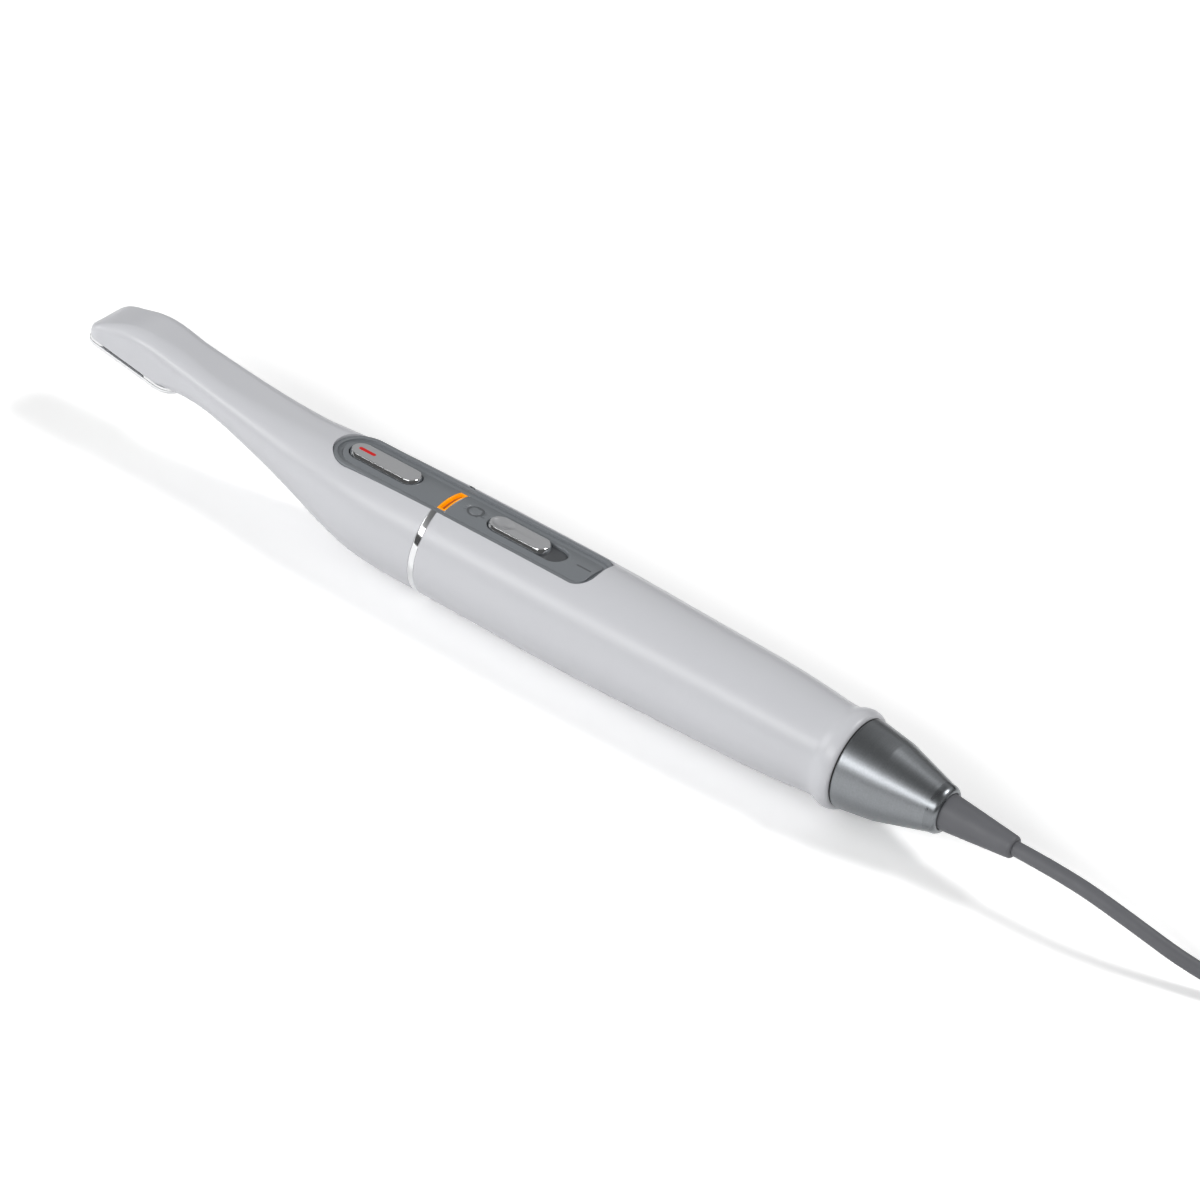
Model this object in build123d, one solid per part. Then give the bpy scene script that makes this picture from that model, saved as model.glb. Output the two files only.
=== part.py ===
from build123d import *
import math
import os

# An intraoral camera: a slim moulded handpiece with a window head, a button deck,
# a screwed metal end cap and a cord that ends in a plug, put away as a tied hank.
# Stations run along the body axis from the tip of the head towards the cord, and
# heights are above that axis, in millimetres. place() then stands the handpiece
# on its belly, with the middle of its length over the origin and the buttons up.

# Body
body_radius = 11.3
belly_radius = 11.5
belly_station = 114.0
wall = 1.3
ring_station = 84.7
ring_width = 1.4
rear_end = 182.1
flare_station = 174.5
flare_radius = 9.55
bead_radius = 10.15
bead_width = 4.9
rear_seam_radius = 9.45
bore_radius = 9.4
rear_bore_radius = 8.3
rear_bore_station = 152.0
spigot_length = 5.5
spigot_wall = 0.8
fit_gap = 0.05

# Neck
neck_station = 26.75
neck_width = 12.6
neck_top = 10.8
neck_bottom = 3.35
neck_corner = 3.0

# Head and window
head_width = 12.4
head_nose_width = 7.0
head_slope_start = 9.0
head_slope = 0.4
head_crown = 12.7
seat_height = 7.04
seat_slope = 0.153
plate_length = 22.1
plate_middle = 11.0
plate_front_corner = 2.6
plate_rear_corner = 4.2
rim_thickness = 0.75
rail_thickness = 0.55
rail_inset = 0.12
window_length = 15.3
window_width = 8.7
window_thickness = 0.8
window_ledge = 0.45
lens_offset = 1.0
lens_radius = 1.8
barrel_radius = 2.5
barrel_length = 4.05
led_board_thickness = 0.6
led_size = 1.5
led_height = 0.4
carrier_height = 3.1
sensor_height = 0.45
sensor_board_thickness = 0.5

# Button deck, a flat let into the top of both housings
deck_front = 57.9
deck_rear = 120.8
deck_width = 12.3
deck_height = 9.22
deck_tilt = 0.6
deck_rear_corner = 3.6
deck_gap = 0.1
panel_thickness = 1.5
panel_rim = 0.9
panel_groove = 1.05
groove_depth = 0.55
crown_drop = 0.1
crown_radius = 28.0
gasket_thickness = 0.4
shelf_thickness = 1.2
shelf_ledge = 1.4
shelf_margin = 1.6
button_gap = 0.12

# Capture button and power slider
capture_station = 69.2
capture_length = 16.5
button_width = 5.2
capture_rise = 0.45
capture_travel = 0.5
mark_length = 3.9
mark_width = 0.8
mark_depth = 0.3
slider_station = 101.3
slider_length = 14.2
slider_rise = 0.25
slider_travel = 3.8
track_depth = 0.8
thumb_dish_radius = 5.5
thumb_dish_depth = 0.35
retainer_thickness = 0.45
stem_width = 1.6
stem_length = 3.0

# Status light
light_length = 7.8
light_width = 1.9
light_wall = 0.22
light_depth = 0.75
light_sink = 0.15
light_pipe_length = 4.0

# Electronics
board_front = 62.0
board_rear = 150.0
board_width = 15.0
board_thickness = 1.2
board_depth = 4.9
tact_size = 6.0
tact_height = 1.3
plunger_radius = 1.5
plunger_depth = 0.5
switch_height = 1.9
switch_length = 10.0
led_chip_height = 0.8
chassis_depth = 4.4
chassis_wall = 1.2
saddle_width = 3.0
screw_radius = 0.75
screw_head_radius = 1.4
screw_inset = 3.6
flex_width = 5.0
flex_thickness = 0.25

# End cap, collar and strain relief
cap_start = 182.4
cap_land = 190.3
cap_end = 203.0
cap_radius = 9.3
cap_land_radius = 8.15
cap_small_radius = 5.15
collar_radius = 8.2
collar_bore = 6.2
collar_length = 21.0
collar_thread_radius = 7.7
collar_thread_length = 5.0
clamp_thickness = 3.0
relief_radius = 3.7
relief_end_radius = 2.3
relief_flange_radius = 4.3
relief_flange_width = 1.4
relief_end = 218.0

# Cord, hank, tie and plug, in the frame of the finished part
cord_diameter = 3.0
cord_route = [(0, 0, 0), (12, 0, 0), (25, 0.6, -2.4), (39, 3.2, -7.1), (53, 7.2, -9.75), (67, 10, -9.95)]
hank_start = 174.4
hank_run = 45.0
hank_fold_radius = 16.5
hank_height = 12.3
hank_waist = 9.2
tie_width = 8.0
tie_thickness = 1.0
tail_rise = 4.1
plug_boot_length = 8.0
plug_length = 23.0
plug_width = 15.0
plug_thickness = 8.0
shell_length = 12.0
shell_width = 12.0
shell_thickness = 4.5
shell_wall = 0.35
tongue_thickness = 1.9

rear_start = ring_station + ring_width
ring_middle = ring_station + ring_width / 2
deck = Location((ring_middle, 0, deck_height), (0, -deck_tilt, 0))
seat_angle = math.degrees(math.atan(seat_slope))
head = Location((plate_middle, 0, seat_height - seat_slope * plate_middle), (0, seat_angle, 0))
plate_thickness = rim_thickness + rail_thickness
gasket_floor = -panel_thickness - gasket_thickness
retainer_top = gasket_floor - fit_gap
retainer_floor = retainer_top - retainer_thickness
board_top = -board_depth
board_floor = board_top - board_thickness
board_middle = (board_front + board_rear) / 2
board_length = board_rear - board_front
tact_top = board_top + tact_height
led_board_floor = led_height + 0.1
carrier_floor = led_board_floor + led_board_thickness
carrier_top = carrier_floor + carrier_height


def slab(outline, low, high):
    """A plate of this outline between two heights."""
    return extrude(Pos(0, 0, low) * outline, amount=high - low)


def turned(*profile):
    """A solid turned about the body axis, from its section's station and radius pairs."""
    return revolve(Plane.XZ * make_face(Polyline(*profile, close=True)), Axis.X)


def rod(start, end, radius):
    """A round bar on the body axis between two stations."""
    return turned((start, 0), (end, 0), (end, radius), (start, radius))


def at(station, side=0.0):
    """A place on the button deck."""
    return Pos(station - ring_middle, side, 0)


def ended_outline(length, width, front_corner, rear_corner):
    """A rectangle with one corner radius in front and another behind."""
    outline = Rectangle(length, width)
    outline = fillet(outline.vertices().group_by(Axis.X)[0], front_corner)
    return fillet(outline.vertices().group_by(Axis.X)[-1], rear_corner)


def deck_outline(grow):
    """Outline of the button deck, round in front and squarer behind."""
    width = deck_width + 2 * grow
    outline = ended_outline(
        deck_rear - deck_front + 2 * grow, width, width / 2 - 0.05, max(deck_rear_corner + grow, 0.4)
    )
    return at((deck_front + deck_rear) / 2) * outline


def plate_outline(inset):
    """Outline of the window plate under the head."""
    return ended_outline(
        plate_length - 2 * inset,
        head_width + 0.1 - 2 * inset,
        plate_front_corner - inset,
        plate_rear_corner - inset,
    )


def window_outline(grow):
    """Outline of the window glass."""
    return Pos(lens_offset / 2, 0, 0) * RectangleRounded(
        window_length + 2 * grow, window_width + 2 * grow, 1.6 + grow
    )


def housing_section(row, inset):
    """One section across the front housing, flatter on top than below."""
    station, width, top, bottom, top_corner, bottom_corner = row
    outline = Rectangle(width - 2 * inset, top - bottom - 2 * inset)
    outline = fillet(outline.vertices().group_by(Axis.Y)[-1], max(top_corner - inset, 0.3))
    outline = fillet(outline.vertices().group_by(Axis.Y)[0], max(bottom_corner - inset, 0.3))
    plane = Plane(origin=(station, 0, (top + bottom) / 2), x_dir=(0, 1, 0), z_dir=(1, 0, 0))
    return plane * outline


def head_row(station, width, top, top_corner, bottom_corner):
    """A section of the head, whose flat underside carries the window plate."""
    bottom = seat_height - seat_slope * station - 0.15
    return (station, width, top, bottom, top_corner, bottom_corner)


def shoulder_row(share, spread, fall, drop, top_share, bottom_share):
    """A section of the shoulder, part of the way from the neck to the joint ring.

    spread and fall are how far the width and the underside have gone from the
    neck's to the body's, drop is how far the top lies under the body's, and the
    last two say how far the corners have gone from the neck's to a full circle.
    """
    full_corner = body_radius - 0.25
    return (
        neck_station + share * (ring_station - neck_station),
        neck_width + spread * (2 * body_radius - neck_width),
        body_radius - drop,
        neck_bottom - fall * (body_radius + neck_bottom),
        neck_corner + top_share * (full_corner - neck_corner),
        neck_corner + bottom_share * (full_corner - neck_corner),
    )


def front_rows():
    """The sections that the front housing is lofted through, from tip to ring."""
    slope_middle = head_slope_start + head_slope * 4.5
    return [
        head_row(0.0, head_nose_width, head_slope_start - 0.9, 0.5, 0.3),
        head_row(0.35, head_nose_width + 2.6, head_slope_start - 0.25, 0.9, 0.3),
        head_row(1.1, head_width - 1.1, head_slope_start + 0.3, 1.5, 0.3),
        head_row(2.4, head_width - 0.1, head_slope_start + 2.4 * head_slope, 2.1, 0.3),
        head_row(4.5, head_width, slope_middle, 2.5, 0.3),
        head_row(8.5, head_width, head_crown - 0.6, 2.7, 0.3),
        head_row(12.5, head_width, head_crown, 2.8, 0.3),
        head_row(18.5, head_width, head_crown - 0.55, 2.9, 0.5),
        (neck_station, neck_width, neck_top, neck_bottom, neck_corner, neck_corner),
        shoulder_row(0.21, 0.14, 0.20, 1.80, 0.145, 0.145),
        shoulder_row(0.425, 0.40, 0.52, 2.10, 0.36, 0.46),
        shoulder_row(0.57, 0.64, 0.745, 1.85, 0.46, 0.65),
        shoulder_row(0.71, 0.87, 0.917, 1.49, 0.60, 0.88),
        shoulder_row(0.857, 0.97, 0.987, 0.56, 0.88, 0.98),
        shoulder_row(1.0, 1.0, 1.0, 0.0, 1.0, 1.0),
    ]


def inner_rows():
    """The same sections without the nose, for the hollow inside."""
    return [row for row in front_rows() if row[0] > 4]


def deck_pocket():
    """What the button panel and its gasket take out of the housings."""
    return deck * slab(deck_outline(deck_gap), gasket_floor, 6)


def deck_shelf(shell_form):
    """The moulded ledge that carries the panel, inside a housing of this outer form."""
    ledge = slab(deck_outline(shelf_margin), gasket_floor - shelf_thickness, gasket_floor)
    ledge -= slab(deck_outline(-shelf_ledge), gasket_floor - shelf_thickness, gasket_floor)
    return (deck * ledge) & shell_form


def front_housing():
    """Head, neck and shoulder in one hollow moulding, open under the head and behind."""
    form = loft([housing_section(row, 0) for row in front_rows()])
    form -= head * Pos(0, 0, -5) * Box(2 * plate_length, 40, 10) & rod(-5, plate_length + 0.3, 20)
    hollow = loft([housing_section(row, wall) for row in inner_rows()])
    shell = form - hollow
    shell += deck_shelf(form)
    shell -= head * slab(window_outline(0.35), -1, wall + 0.6)
    shell -= deck_pocket()
    spigot_radius = body_radius - wall - 0.3
    spigot = rod(ring_station - 5, rear_start + spigot_length, spigot_radius)
    spigot -= rod(ring_station - 5, rear_start + spigot_length, spigot_radius - spigot_wall)
    spigot -= deck * slab(Rectangle(200, 40), gasket_floor - shelf_thickness - fit_gap, 20)
    collar = rod(ring_station - 5, ring_station, body_radius - wall / 2)
    collar -= rod(ring_station - 5, ring_station, spigot_radius - spigot_wall)
    collar -= deck * slab(Rectangle(200, 40), gasket_floor - shelf_thickness - fit_gap, 20)
    return shell + collar + spigot


def rear_form():
    """Outer form of the rear housing: a slow barrel, a flare and the rolled bead."""
    bead_start = rear_end - bead_width
    barrel = Spline(
        (rear_start, body_radius + 0.02),
        (belly_station, belly_radius),
        (140, belly_radius - 0.45),
        (164, belly_radius - 1.12),
        (flare_station, flare_radius),
    )
    flare = Line(barrel @ 1, (bead_start, flare_radius - 0.1))
    bead = ThreePointArc(flare @ 1, (rear_end - 0.45 * bead_width, bead_radius), (rear_end, rear_seam_radius))
    rest = Polyline(bead @ 1, (rear_end, 0), (rear_start, 0), barrel @ 0)
    return revolve(Plane.XZ * make_face([barrel, flare, bead, rest]), Axis.X)


def rear_housing():
    """Rear half of the grip, bored for the chassis and counterbored for the spigot."""
    form = rear_form()
    spigot_radius = body_radius - wall - 0.3
    hollow = rod(rear_start - 1, rear_bore_station, bore_radius)
    hollow += rod(rear_start - 1, rear_start + spigot_length + 0.2, spigot_radius + fit_gap)
    hollow += rod(rear_bore_station - 1, rear_end + 1, rear_bore_radius)
    return form - hollow + deck_shelf(form) - deck_pocket()


def joint_ring():
    """Polished trim ring between the two housings, open where the deck crosses it."""
    spigot_radius = body_radius - wall - 0.3
    ring = rod(ring_station, rear_start, body_radius + 0.05) - rod(ring_station, rear_start, spigot_radius + fit_gap)
    return ring - deck_pocket()


def button_panel():
    """Deck panel with a raised rim, a groove inside it and a slightly crowned floor."""
    panel = slab(deck_outline(0), -panel_thickness, 0)
    panel -= slab(deck_outline(-panel_rim), -groove_depth, 1)
    crown = slab(deck_outline(-panel_rim - panel_groove), -panel_thickness, 1)
    dome = Pos(0, 0, -crown_drop - crown_radius) * Rot(0, 90, 0) * Cylinder(crown_radius, 200)
    panel += crown & dome
    capture_hole = SlotOverall(capture_length + 2 * button_gap, button_width + 2 * button_gap)
    panel -= at(capture_station) * slab(capture_hole, -3, 3)
    track = SlotOverall(slider_length + slider_travel + 2 * button_gap, button_width + 2 * button_gap)
    track_middle = slider_station + slider_travel / 2
    panel -= at(track_middle) * slab(track, -track_depth, 3)
    panel -= at(track_middle) * slab(stem_slot(), -3, 3)
    panel -= at(ring_middle) * slab(Rectangle(light_width + fit_gap, light_length + fit_gap), -3, 3)
    return deck * panel


def stem_slot():
    """The slot that the slider's stem runs in."""
    return Rectangle(stem_length + slider_travel + 2 * button_gap, stem_width + 2 * button_gap)


def panel_gasket():
    """Thin seal under the panel, with openings for the stems and the light pipe."""
    gasket = slab(deck_outline(-fit_gap), gasket_floor, -panel_thickness)
    gasket -= at(capture_station) * slab(SlotOverall(capture_length + 0.5, button_width + 0.5), -3, 0)
    gasket -= at(slider_station + slider_travel / 2) * slab(stem_slot(), -3, 0)
    gasket -= at(ring_middle) * slab(Rectangle(light_width + 0.2, light_pipe_length + 0.4), -3, 0)
    return deck * gasket


def capture_button():
    """Press button with a rounded top edge, a retaining flange and its stem."""
    cap = slab(SlotOverall(capture_length, button_width), retainer_top, capture_rise)
    cap = fillet(cap.edges().group_by(Axis.Z)[-1], 0.25)
    flange = slab(SlotOverall(capture_length + 1.2, button_width + 1.2), retainer_floor, retainer_top)
    stem_floor = tact_top + plunger_depth + 0.1
    stem = slab(Circle(plunger_radius), stem_floor, retainer_floor)
    mark = slab(capture_mark_outline(), capture_rise - mark_depth, capture_rise + 1)
    return deck * at(capture_station) * (cap + flange + stem - mark)


def capture_mark_outline():
    """The coloured bar near the front of the capture button."""
    return Pos(-capture_length * 0.28, 0, 0) * SlotOverall(mark_length, mark_width)


def capture_mark():
    """Red inlay of the capture button."""
    return deck * at(capture_station) * slab(capture_mark_outline(), capture_rise - mark_depth, capture_rise)


def switch_plunger():
    """Plunger of the press switch, which goes down with the button."""
    bottom = tact_top - plunger_depth
    return deck * at(capture_station) * slab(Circle(plunger_radius), bottom, tact_top + plunger_depth + 0.1)


def tact_switch():
    """Press switch on the board under the capture button."""
    body = slab(RectangleRounded(tact_size, tact_size, 0.4), board_top, tact_top)
    well_floor = tact_top - plunger_depth - capture_travel - fit_gap
    body -= slab(Circle(plunger_radius + fit_gap), well_floor, 0)
    return deck * at(capture_station) * body


def power_slider():
    """Slide button with a thumb dish at its front end, its stem and its retainer."""
    cap = slab(SlotOverall(slider_length, button_width), fit_gap - track_depth, slider_rise)
    cap = fillet(cap.edges().group_by(Axis.Z)[-1], 0.25)
    dish_height = slider_rise - thumb_dish_depth + thumb_dish_radius
    cap -= Pos(3.1 - slider_length / 2, 0, dish_height) * Sphere(thumb_dish_radius)
    stem = slab(Rectangle(stem_length, stem_width), retainer_top, fit_gap - track_depth)
    retainer = slab(Rectangle(9, 4), retainer_floor, retainer_top)
    return deck * at(slider_station) * (cap + stem + retainer)


def slider_lever():
    """Lever of the slide switch, carried along by the slider."""
    lever = slab(Rectangle(1.4, 1.4), board_top + 1.1, retainer_floor)
    return deck * at(slider_station) * lever


def slide_switch():
    """Slide switch on the board under the power slider."""
    body = slab(Rectangle(switch_length, 4.2), board_top, board_top + switch_height)
    body -= slab(Rectangle(1.4 + slider_travel + 0.4, 1.6), board_top + 1.0, 0)
    return deck * at(slider_station + slider_travel / 2) * body


def status_light():
    """Amber light pipe: a shallow trough across the deck over a stem to the lamp."""
    top = -light_sink
    pipe = slab(Rectangle(light_width, light_length), -panel_thickness, top)
    trough = Rectangle(light_width - 2 * light_wall, light_length - 2 * light_wall)
    pipe -= slab(trough, top - light_depth, top + 1)
    stem = slab(Rectangle(1.6, light_pipe_length), board_top + led_chip_height + 0.1, -panel_thickness)
    return deck * (pipe + stem)


def status_led():
    """Small lamp on the board under the light pipe."""
    return deck * slab(Rectangle(2.0, 1.3), board_top, board_top + led_chip_height)


def window_bezel():
    """Bright plate under the head: a rounded rim, a set-back rail and the window opening."""
    rim = slab(plate_outline(0), -plate_thickness, -rail_thickness)
    rim = fillet(rim.edges().group_by(Axis.Z)[0], 0.3)
    rail = slab(plate_outline(rail_inset), -rail_thickness, 0)
    ledge_top = -plate_thickness + window_ledge
    opening = slab(window_outline(-window_ledge), -plate_thickness, ledge_top)
    rebate = slab(window_outline(fit_gap), ledge_top, 0)
    return head * (rim + rail - opening - rebate)


def window_glass():
    """Glass of the window, on the plate's inner ledge."""
    low = -plate_thickness + window_ledge
    return head * slab(window_outline(0), low, low + window_thickness)


def led_board():
    """Board of the lamps round the lens."""
    board = Pos(lens_offset / 2, 0, 0) * RectangleRounded(window_length - 0.8, window_width - 0.6, 1.2)
    board = slab(board, led_board_floor, carrier_floor)
    return head * (board - Pos(lens_offset, 0, 0) * slab(Circle(barrel_radius + fit_gap), 0, 2))


def leds():
    """Eight lamps beside the lens, four towards each end of the window."""
    group = []
    for along in (-6.1, -4.1, 4.1, 6.1):
        for side in (-2.2, 2.2):
            lamp = slab(Rectangle(led_size, led_size), led_board_floor - led_height, led_board_floor)
            group.append(Pos(lens_offset / 2 + along, side, 0) * lamp)
    return head * Compound(children=group)


def lens_barrel():
    """Barrel of the lens, stepped for the front element."""
    barrel = slab(Circle(barrel_radius), carrier_top - barrel_length, carrier_top)
    barrel -= slab(Circle(1.3), 0, carrier_top)
    barrel -= slab(Circle(lens_radius + fit_gap), 0, carrier_top - barrel_length + 1.0)
    return head * Pos(lens_offset, 0, 0) * barrel


def lens_glass():
    """Front element of the lens."""
    top = carrier_top - barrel_length + 1.0
    lens = slab(Circle(lens_radius), top - 0.8, top)
    return head * Pos(lens_offset, 0, 0) * fillet(lens.edges().group_by(Axis.Z)[0], 0.3)


def optics_carrier():
    """Block that holds the lens barrel over the window."""
    block = slab(RectangleRounded(10.4, 8.4, 0.8), carrier_floor, carrier_top)
    return head * Pos(lens_offset, 0, 0) * (block - slab(Circle(barrel_radius + fit_gap), 0, 9))


def image_sensor():
    """Image sensor over the lens."""
    return head * Pos(lens_offset, 0, 0) * slab(Rectangle(4.6, 3.8), carrier_top, carrier_top + sensor_height)


def sensor_board():
    """Board that carries the image sensor."""
    low = carrier_top + sensor_height
    return head * Pos(lens_offset, 0, 0) * slab(RectangleRounded(6, 6.4, 0.4), low, low + sensor_board_thickness)


def sensor_flex():
    """Flat lead from the sensor board through the neck to the main board."""
    start = head * Pos(lens_offset + 1.6, 0, carrier_top + sensor_height + sensor_board_thickness + flex_thickness / 2)
    leave = head * Pos(lens_offset + 5.0, 0, carrier_top + sensor_height + sensor_board_thickness + flex_thickness / 2)
    land = deck * at(board_front + 0.5) * Pos(0, 0, board_top + flex_thickness / 2)
    end = deck * at(board_front + 3.0) * Pos(0, 0, board_top + flex_thickness / 2)
    points = [(place_of.position.X, place_of.position.Z) for place_of in (start, leave, land, end)]
    points.insert(2, (neck_station + 8, (neck_top + neck_bottom) / 2 - 0.6))
    path = FilletPolyline(*points, radius=6)
    ribbon = Plane.XZ * trace(path, line_width=flex_thickness)
    return extrude(ribbon, amount=flex_width / 2, both=True)


def screw_places():
    """Where the four board screws stand on the deck frame."""
    side = board_width / 2 - 1.9
    return [
        (board_front + screw_inset + 1.5, -side),
        (board_front + screw_inset + 1.5, side),
        (board_rear - screw_inset, -side),
        (board_rear - screw_inset, side),
    ]


def main_board():
    """Long circuit board under the deck."""
    board = at(board_middle) * slab(RectangleRounded(board_length, board_width, 1), board_floor, board_top)
    for station, side in screw_places():
        board -= at(station, side) * slab(Circle(screw_radius + 0.1), -20, 0)
    return deck * board


def board_chips():
    """Packages on the top of the board, behind the switches."""
    packages = [(121, 10, 10, 1.1), (133, 7, 7, 0.9), (113, 4, 6, 0.8)]
    chips = []
    for station, length, width, height in packages:
        chips.append(at(station) * slab(Rectangle(length, width), board_top, board_top + height))
    return deck * Compound(children=chips)


def board_screws():
    """Four screws that hold the board to the chassis."""
    screws = []
    for station, side in screw_places():
        screw = slab(Circle(screw_head_radius), board_top, board_top + 0.8)
        screw += slab(Circle(screw_radius), board_floor - 2.5, board_top)
        screws.append(at(station, side) * screw)
    return deck * Compound(children=screws)


def chassis():
    """Tray under the board with two saddles that sit in the rear housing's bore."""
    floor_height = board_floor - chassis_depth
    outer = at(board_middle) * slab(Rectangle(board_length, board_width), floor_height, board_floor)
    inner = Rectangle(board_length - 2 * chassis_wall, board_width - 2 * chassis_wall)
    tray = outer - at(board_middle) * slab(inner, floor_height + chassis_wall, board_floor)
    for station, side in screw_places():
        boss = slab(Circle(screw_radius + 0.9), floor_height, board_floor)
        tray += at(station, side) * boss
    for station, side in screw_places():
        tray -= at(station, side) * slab(Circle(screw_radius + 0.03), board_floor - 2.6, board_floor)
    tray = deck * tray
    for station in (rear_start + spigot_length + 4, rear_bore_station - 12):
        saddle = rod(station, station + saddle_width, bore_radius - fit_gap)
        saddle -= deck * slab(Rectangle(300, 40), floor_height, 30)
        tray += saddle
    return tray


def wire_connector():
    """Connector of the cord's leads at the rear of the board."""
    return deck * at(board_rear - 4.5) * slab(Rectangle(7, 8), board_top, board_top + 3.3)


def inner_lead():
    """The cord inside the body, from its connector through the clamp to the strain relief."""
    start = deck * at(board_rear - 0.9) * Pos(0, 0, board_top + 1.7)
    path = FilletPolyline(
        (start.position.X, 0, start.position.Z),
        (start.position.X + 6, 0, start.position.Z),
        (rear_bore_station + 18, 0, 0),
        (cap_end + 5, 0, 0),
        radius=[12, 16],
    )
    return sweep(Plane(origin=path @ 0, z_dir=path % 0) * Circle(cord_diameter / 2 - 0.03), path)


def threaded_collar():
    """Metal insert in the rear housing that the end cap screws on."""
    collar = rod(rear_end - collar_length + collar_thread_length, rear_end, collar_radius)
    collar += rod(rear_end, rear_end + collar_thread_length, collar_thread_radius)
    return collar - rod(0, 300, collar_bore)


def cord_clamp():
    """Two-hole disc that grips the cord inside the collar."""
    clamp = rod(rear_end, rear_end + clamp_thickness, collar_bore - fit_gap)
    clamp -= rod(0, 300, cord_diameter / 2 + fit_gap)
    for side in (-1, 1):
        hole = Plane.YZ * Pos(side * 3.9, 0) * Circle(0.8)
        clamp -= extrude(hole, amount=400)
    return clamp


def cap_seal():
    """Thin sealing ring between the bead and the end cap."""
    return rod(rear_end, cap_start, rear_seam_radius - 0.3) - rod(0, 300, collar_thread_radius + fit_gap)


def end_cap():
    """Turned metal cap: a plain land, a cone and a polished rounded end."""
    cone_end = cap_end - 2.0
    cap = turned(
        (cap_start, 0),
        (cap_start, cap_radius),
        (cap_land, cap_land_radius),
        (cone_end, cap_small_radius),
        (cap_end, cap_small_radius - 0.5),
        (cap_end, 0),
    )
    cap -= turned(
        (cap_start, 0),
        (cap_start, collar_thread_radius + fit_gap),
        (rear_end + collar_thread_length + 0.4, collar_thread_radius + fit_gap),
        (rear_end + collar_thread_length + 1.4, cap_land_radius - 1.4),
        (cap_end - 5.5, relief_flange_radius + fit_gap),
        (cap_end - 3.5, relief_flange_radius + fit_gap),
        (cap_end - 3.5, 0),
    )
    cap -= rod(cap_end - 4, cap_end, relief_radius + fit_gap)
    return fillet(cap.edges().group_by(Axis.X)[-1].sort_by(SortBy.RADIUS)[-1], 0.45)


def strain_relief():
    """Tapered sleeve on the cord, held in the cap by its flange."""
    flange_start = cap_end - 3.5 - relief_flange_width
    sleeve = turned(
        (flange_start, 0),
        (flange_start, relief_flange_radius),
        (cap_end - 3.5, relief_flange_radius),
        (cap_end - 3.5, relief_radius),
        (cap_end, relief_radius),
        (relief_end - 0.6, relief_end_radius),
        (relief_end, relief_end_radius - 0.5),
        (relief_end, 0),
    )
    return sleeve - rod(flange_start, cap_end + 5, cord_diameter / 2)


def corner_radii(points):
    """The arc at each corner of a route: 0.45 of the shorter run over the tangent of half the turn."""
    radii = []
    for before, corner, after in zip(points, points[1:], points[2:]):
        run_in = Vector(corner) - Vector(before)
        run_out = Vector(after) - Vector(corner)
        half_turn = math.radians(run_in.get_angle(run_out)) / 2
        radii.append(0.45 * min(run_in.length, run_out.length) / math.tan(half_turn))
    return radii


def tube(points, label):
    """A cord's stretch: straight runs joined by arcs that touch them."""
    radii = corner_radii(points)
    path = FilletPolyline(*points, radius=radii)
    solid = sweep(Plane(origin=path @ 0, z_dir=path % 0) * Circle(cord_diameter / 2), path)
    expected = math.pi * cord_diameter**2 / 4 * path.length
    print(label, "radii", [round(radius, 1) for radius in radii], "length", round(path.length, 1))
    print(label, "volume over section times length", round(solid.volume / expected, 4))
    return solid


def cord_run(leave):
    """The cord from the strain relief down to the hank."""
    return tube([Vector(leave) + Vector(point) for point in cord_route], "cord_run")


def tail_points():
    """The last of the cord, which rises over the waist of the hank to the plug."""
    middle = hank_middle()
    top = hank_height
    return [
        (middle - 27, 0, top - 2.0),
        (middle - 16, 0, top - 2.0),
        (middle - 5, 0, top + tail_rise),
        (middle + 7, 0, top + tail_rise),
    ]


def hank_middle():
    """Where the tie goes round the hank."""
    return hank_start + hank_run / 2 + hank_fold_radius


def cord_hank(leave):
    """The put-away length as a hank that is drawn in by its tie, with the cord's tail on it."""
    half_run = hank_run / 2
    half_tie = tie_width / 2 + 1
    flank = half_run - 2.5
    shoulder = math.sqrt(hank_fold_radius**2 - 2.5**2)
    waist = Polyline(
        (-flank, -shoulder),
        (-half_tie, -hank_waist),
        (half_tie, -hank_waist),
        (flank, -shoulder),
        (flank, shoulder),
        (half_tie, hank_waist),
        (-half_tie, hank_waist),
        (-flank, shoulder),
        close=True,
    )
    folds = Pos(-half_run, 0) * Circle(hank_fold_radius) + Pos(half_run, 0) * Circle(hank_fold_radius)
    bundle = slab(make_face(waist) + folds, 0, hank_height)
    bundle -= Box(tie_width + 0.2, 60, 2 * (tie_thickness + fit_gap))
    bundle = Pos(hank_middle(), 0, 0) * bundle
    first = Vector(leave) + Vector(cord_route[-1])
    before = Vector(leave) + Vector(cord_route[-2])
    entry = Plane(origin=first, z_dir=first - before) * Circle(cord_diameter / 2)
    bundle += extrude(entry, amount=6)
    return bundle + tube(tail_points(), "tail")


def cord_tie():
    """Strap round the waist of the hank and the cord's tail."""
    half_width = hank_waist + fit_gap
    inner_top = hank_height + tail_rise + cord_diameter / 2 + fit_gap
    outer = Pos(0, inner_top / 2 + tie_thickness / 2) * RectangleRounded(
        2 * (half_width + tie_thickness), inner_top + tie_thickness, 2.2
    )
    inner = Pos(0, (inner_top + tie_thickness) / 2) * Rectangle(2 * half_width, inner_top - tie_thickness)
    strap = Plane.YZ * (outer - inner)
    return Pos(hank_middle() - tie_width / 2, 0, 0) * extrude(strap, amount=tie_width)


def plug_axis():
    """Where the cord enters the plug."""
    return Pos(*tail_points()[-1])


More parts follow.
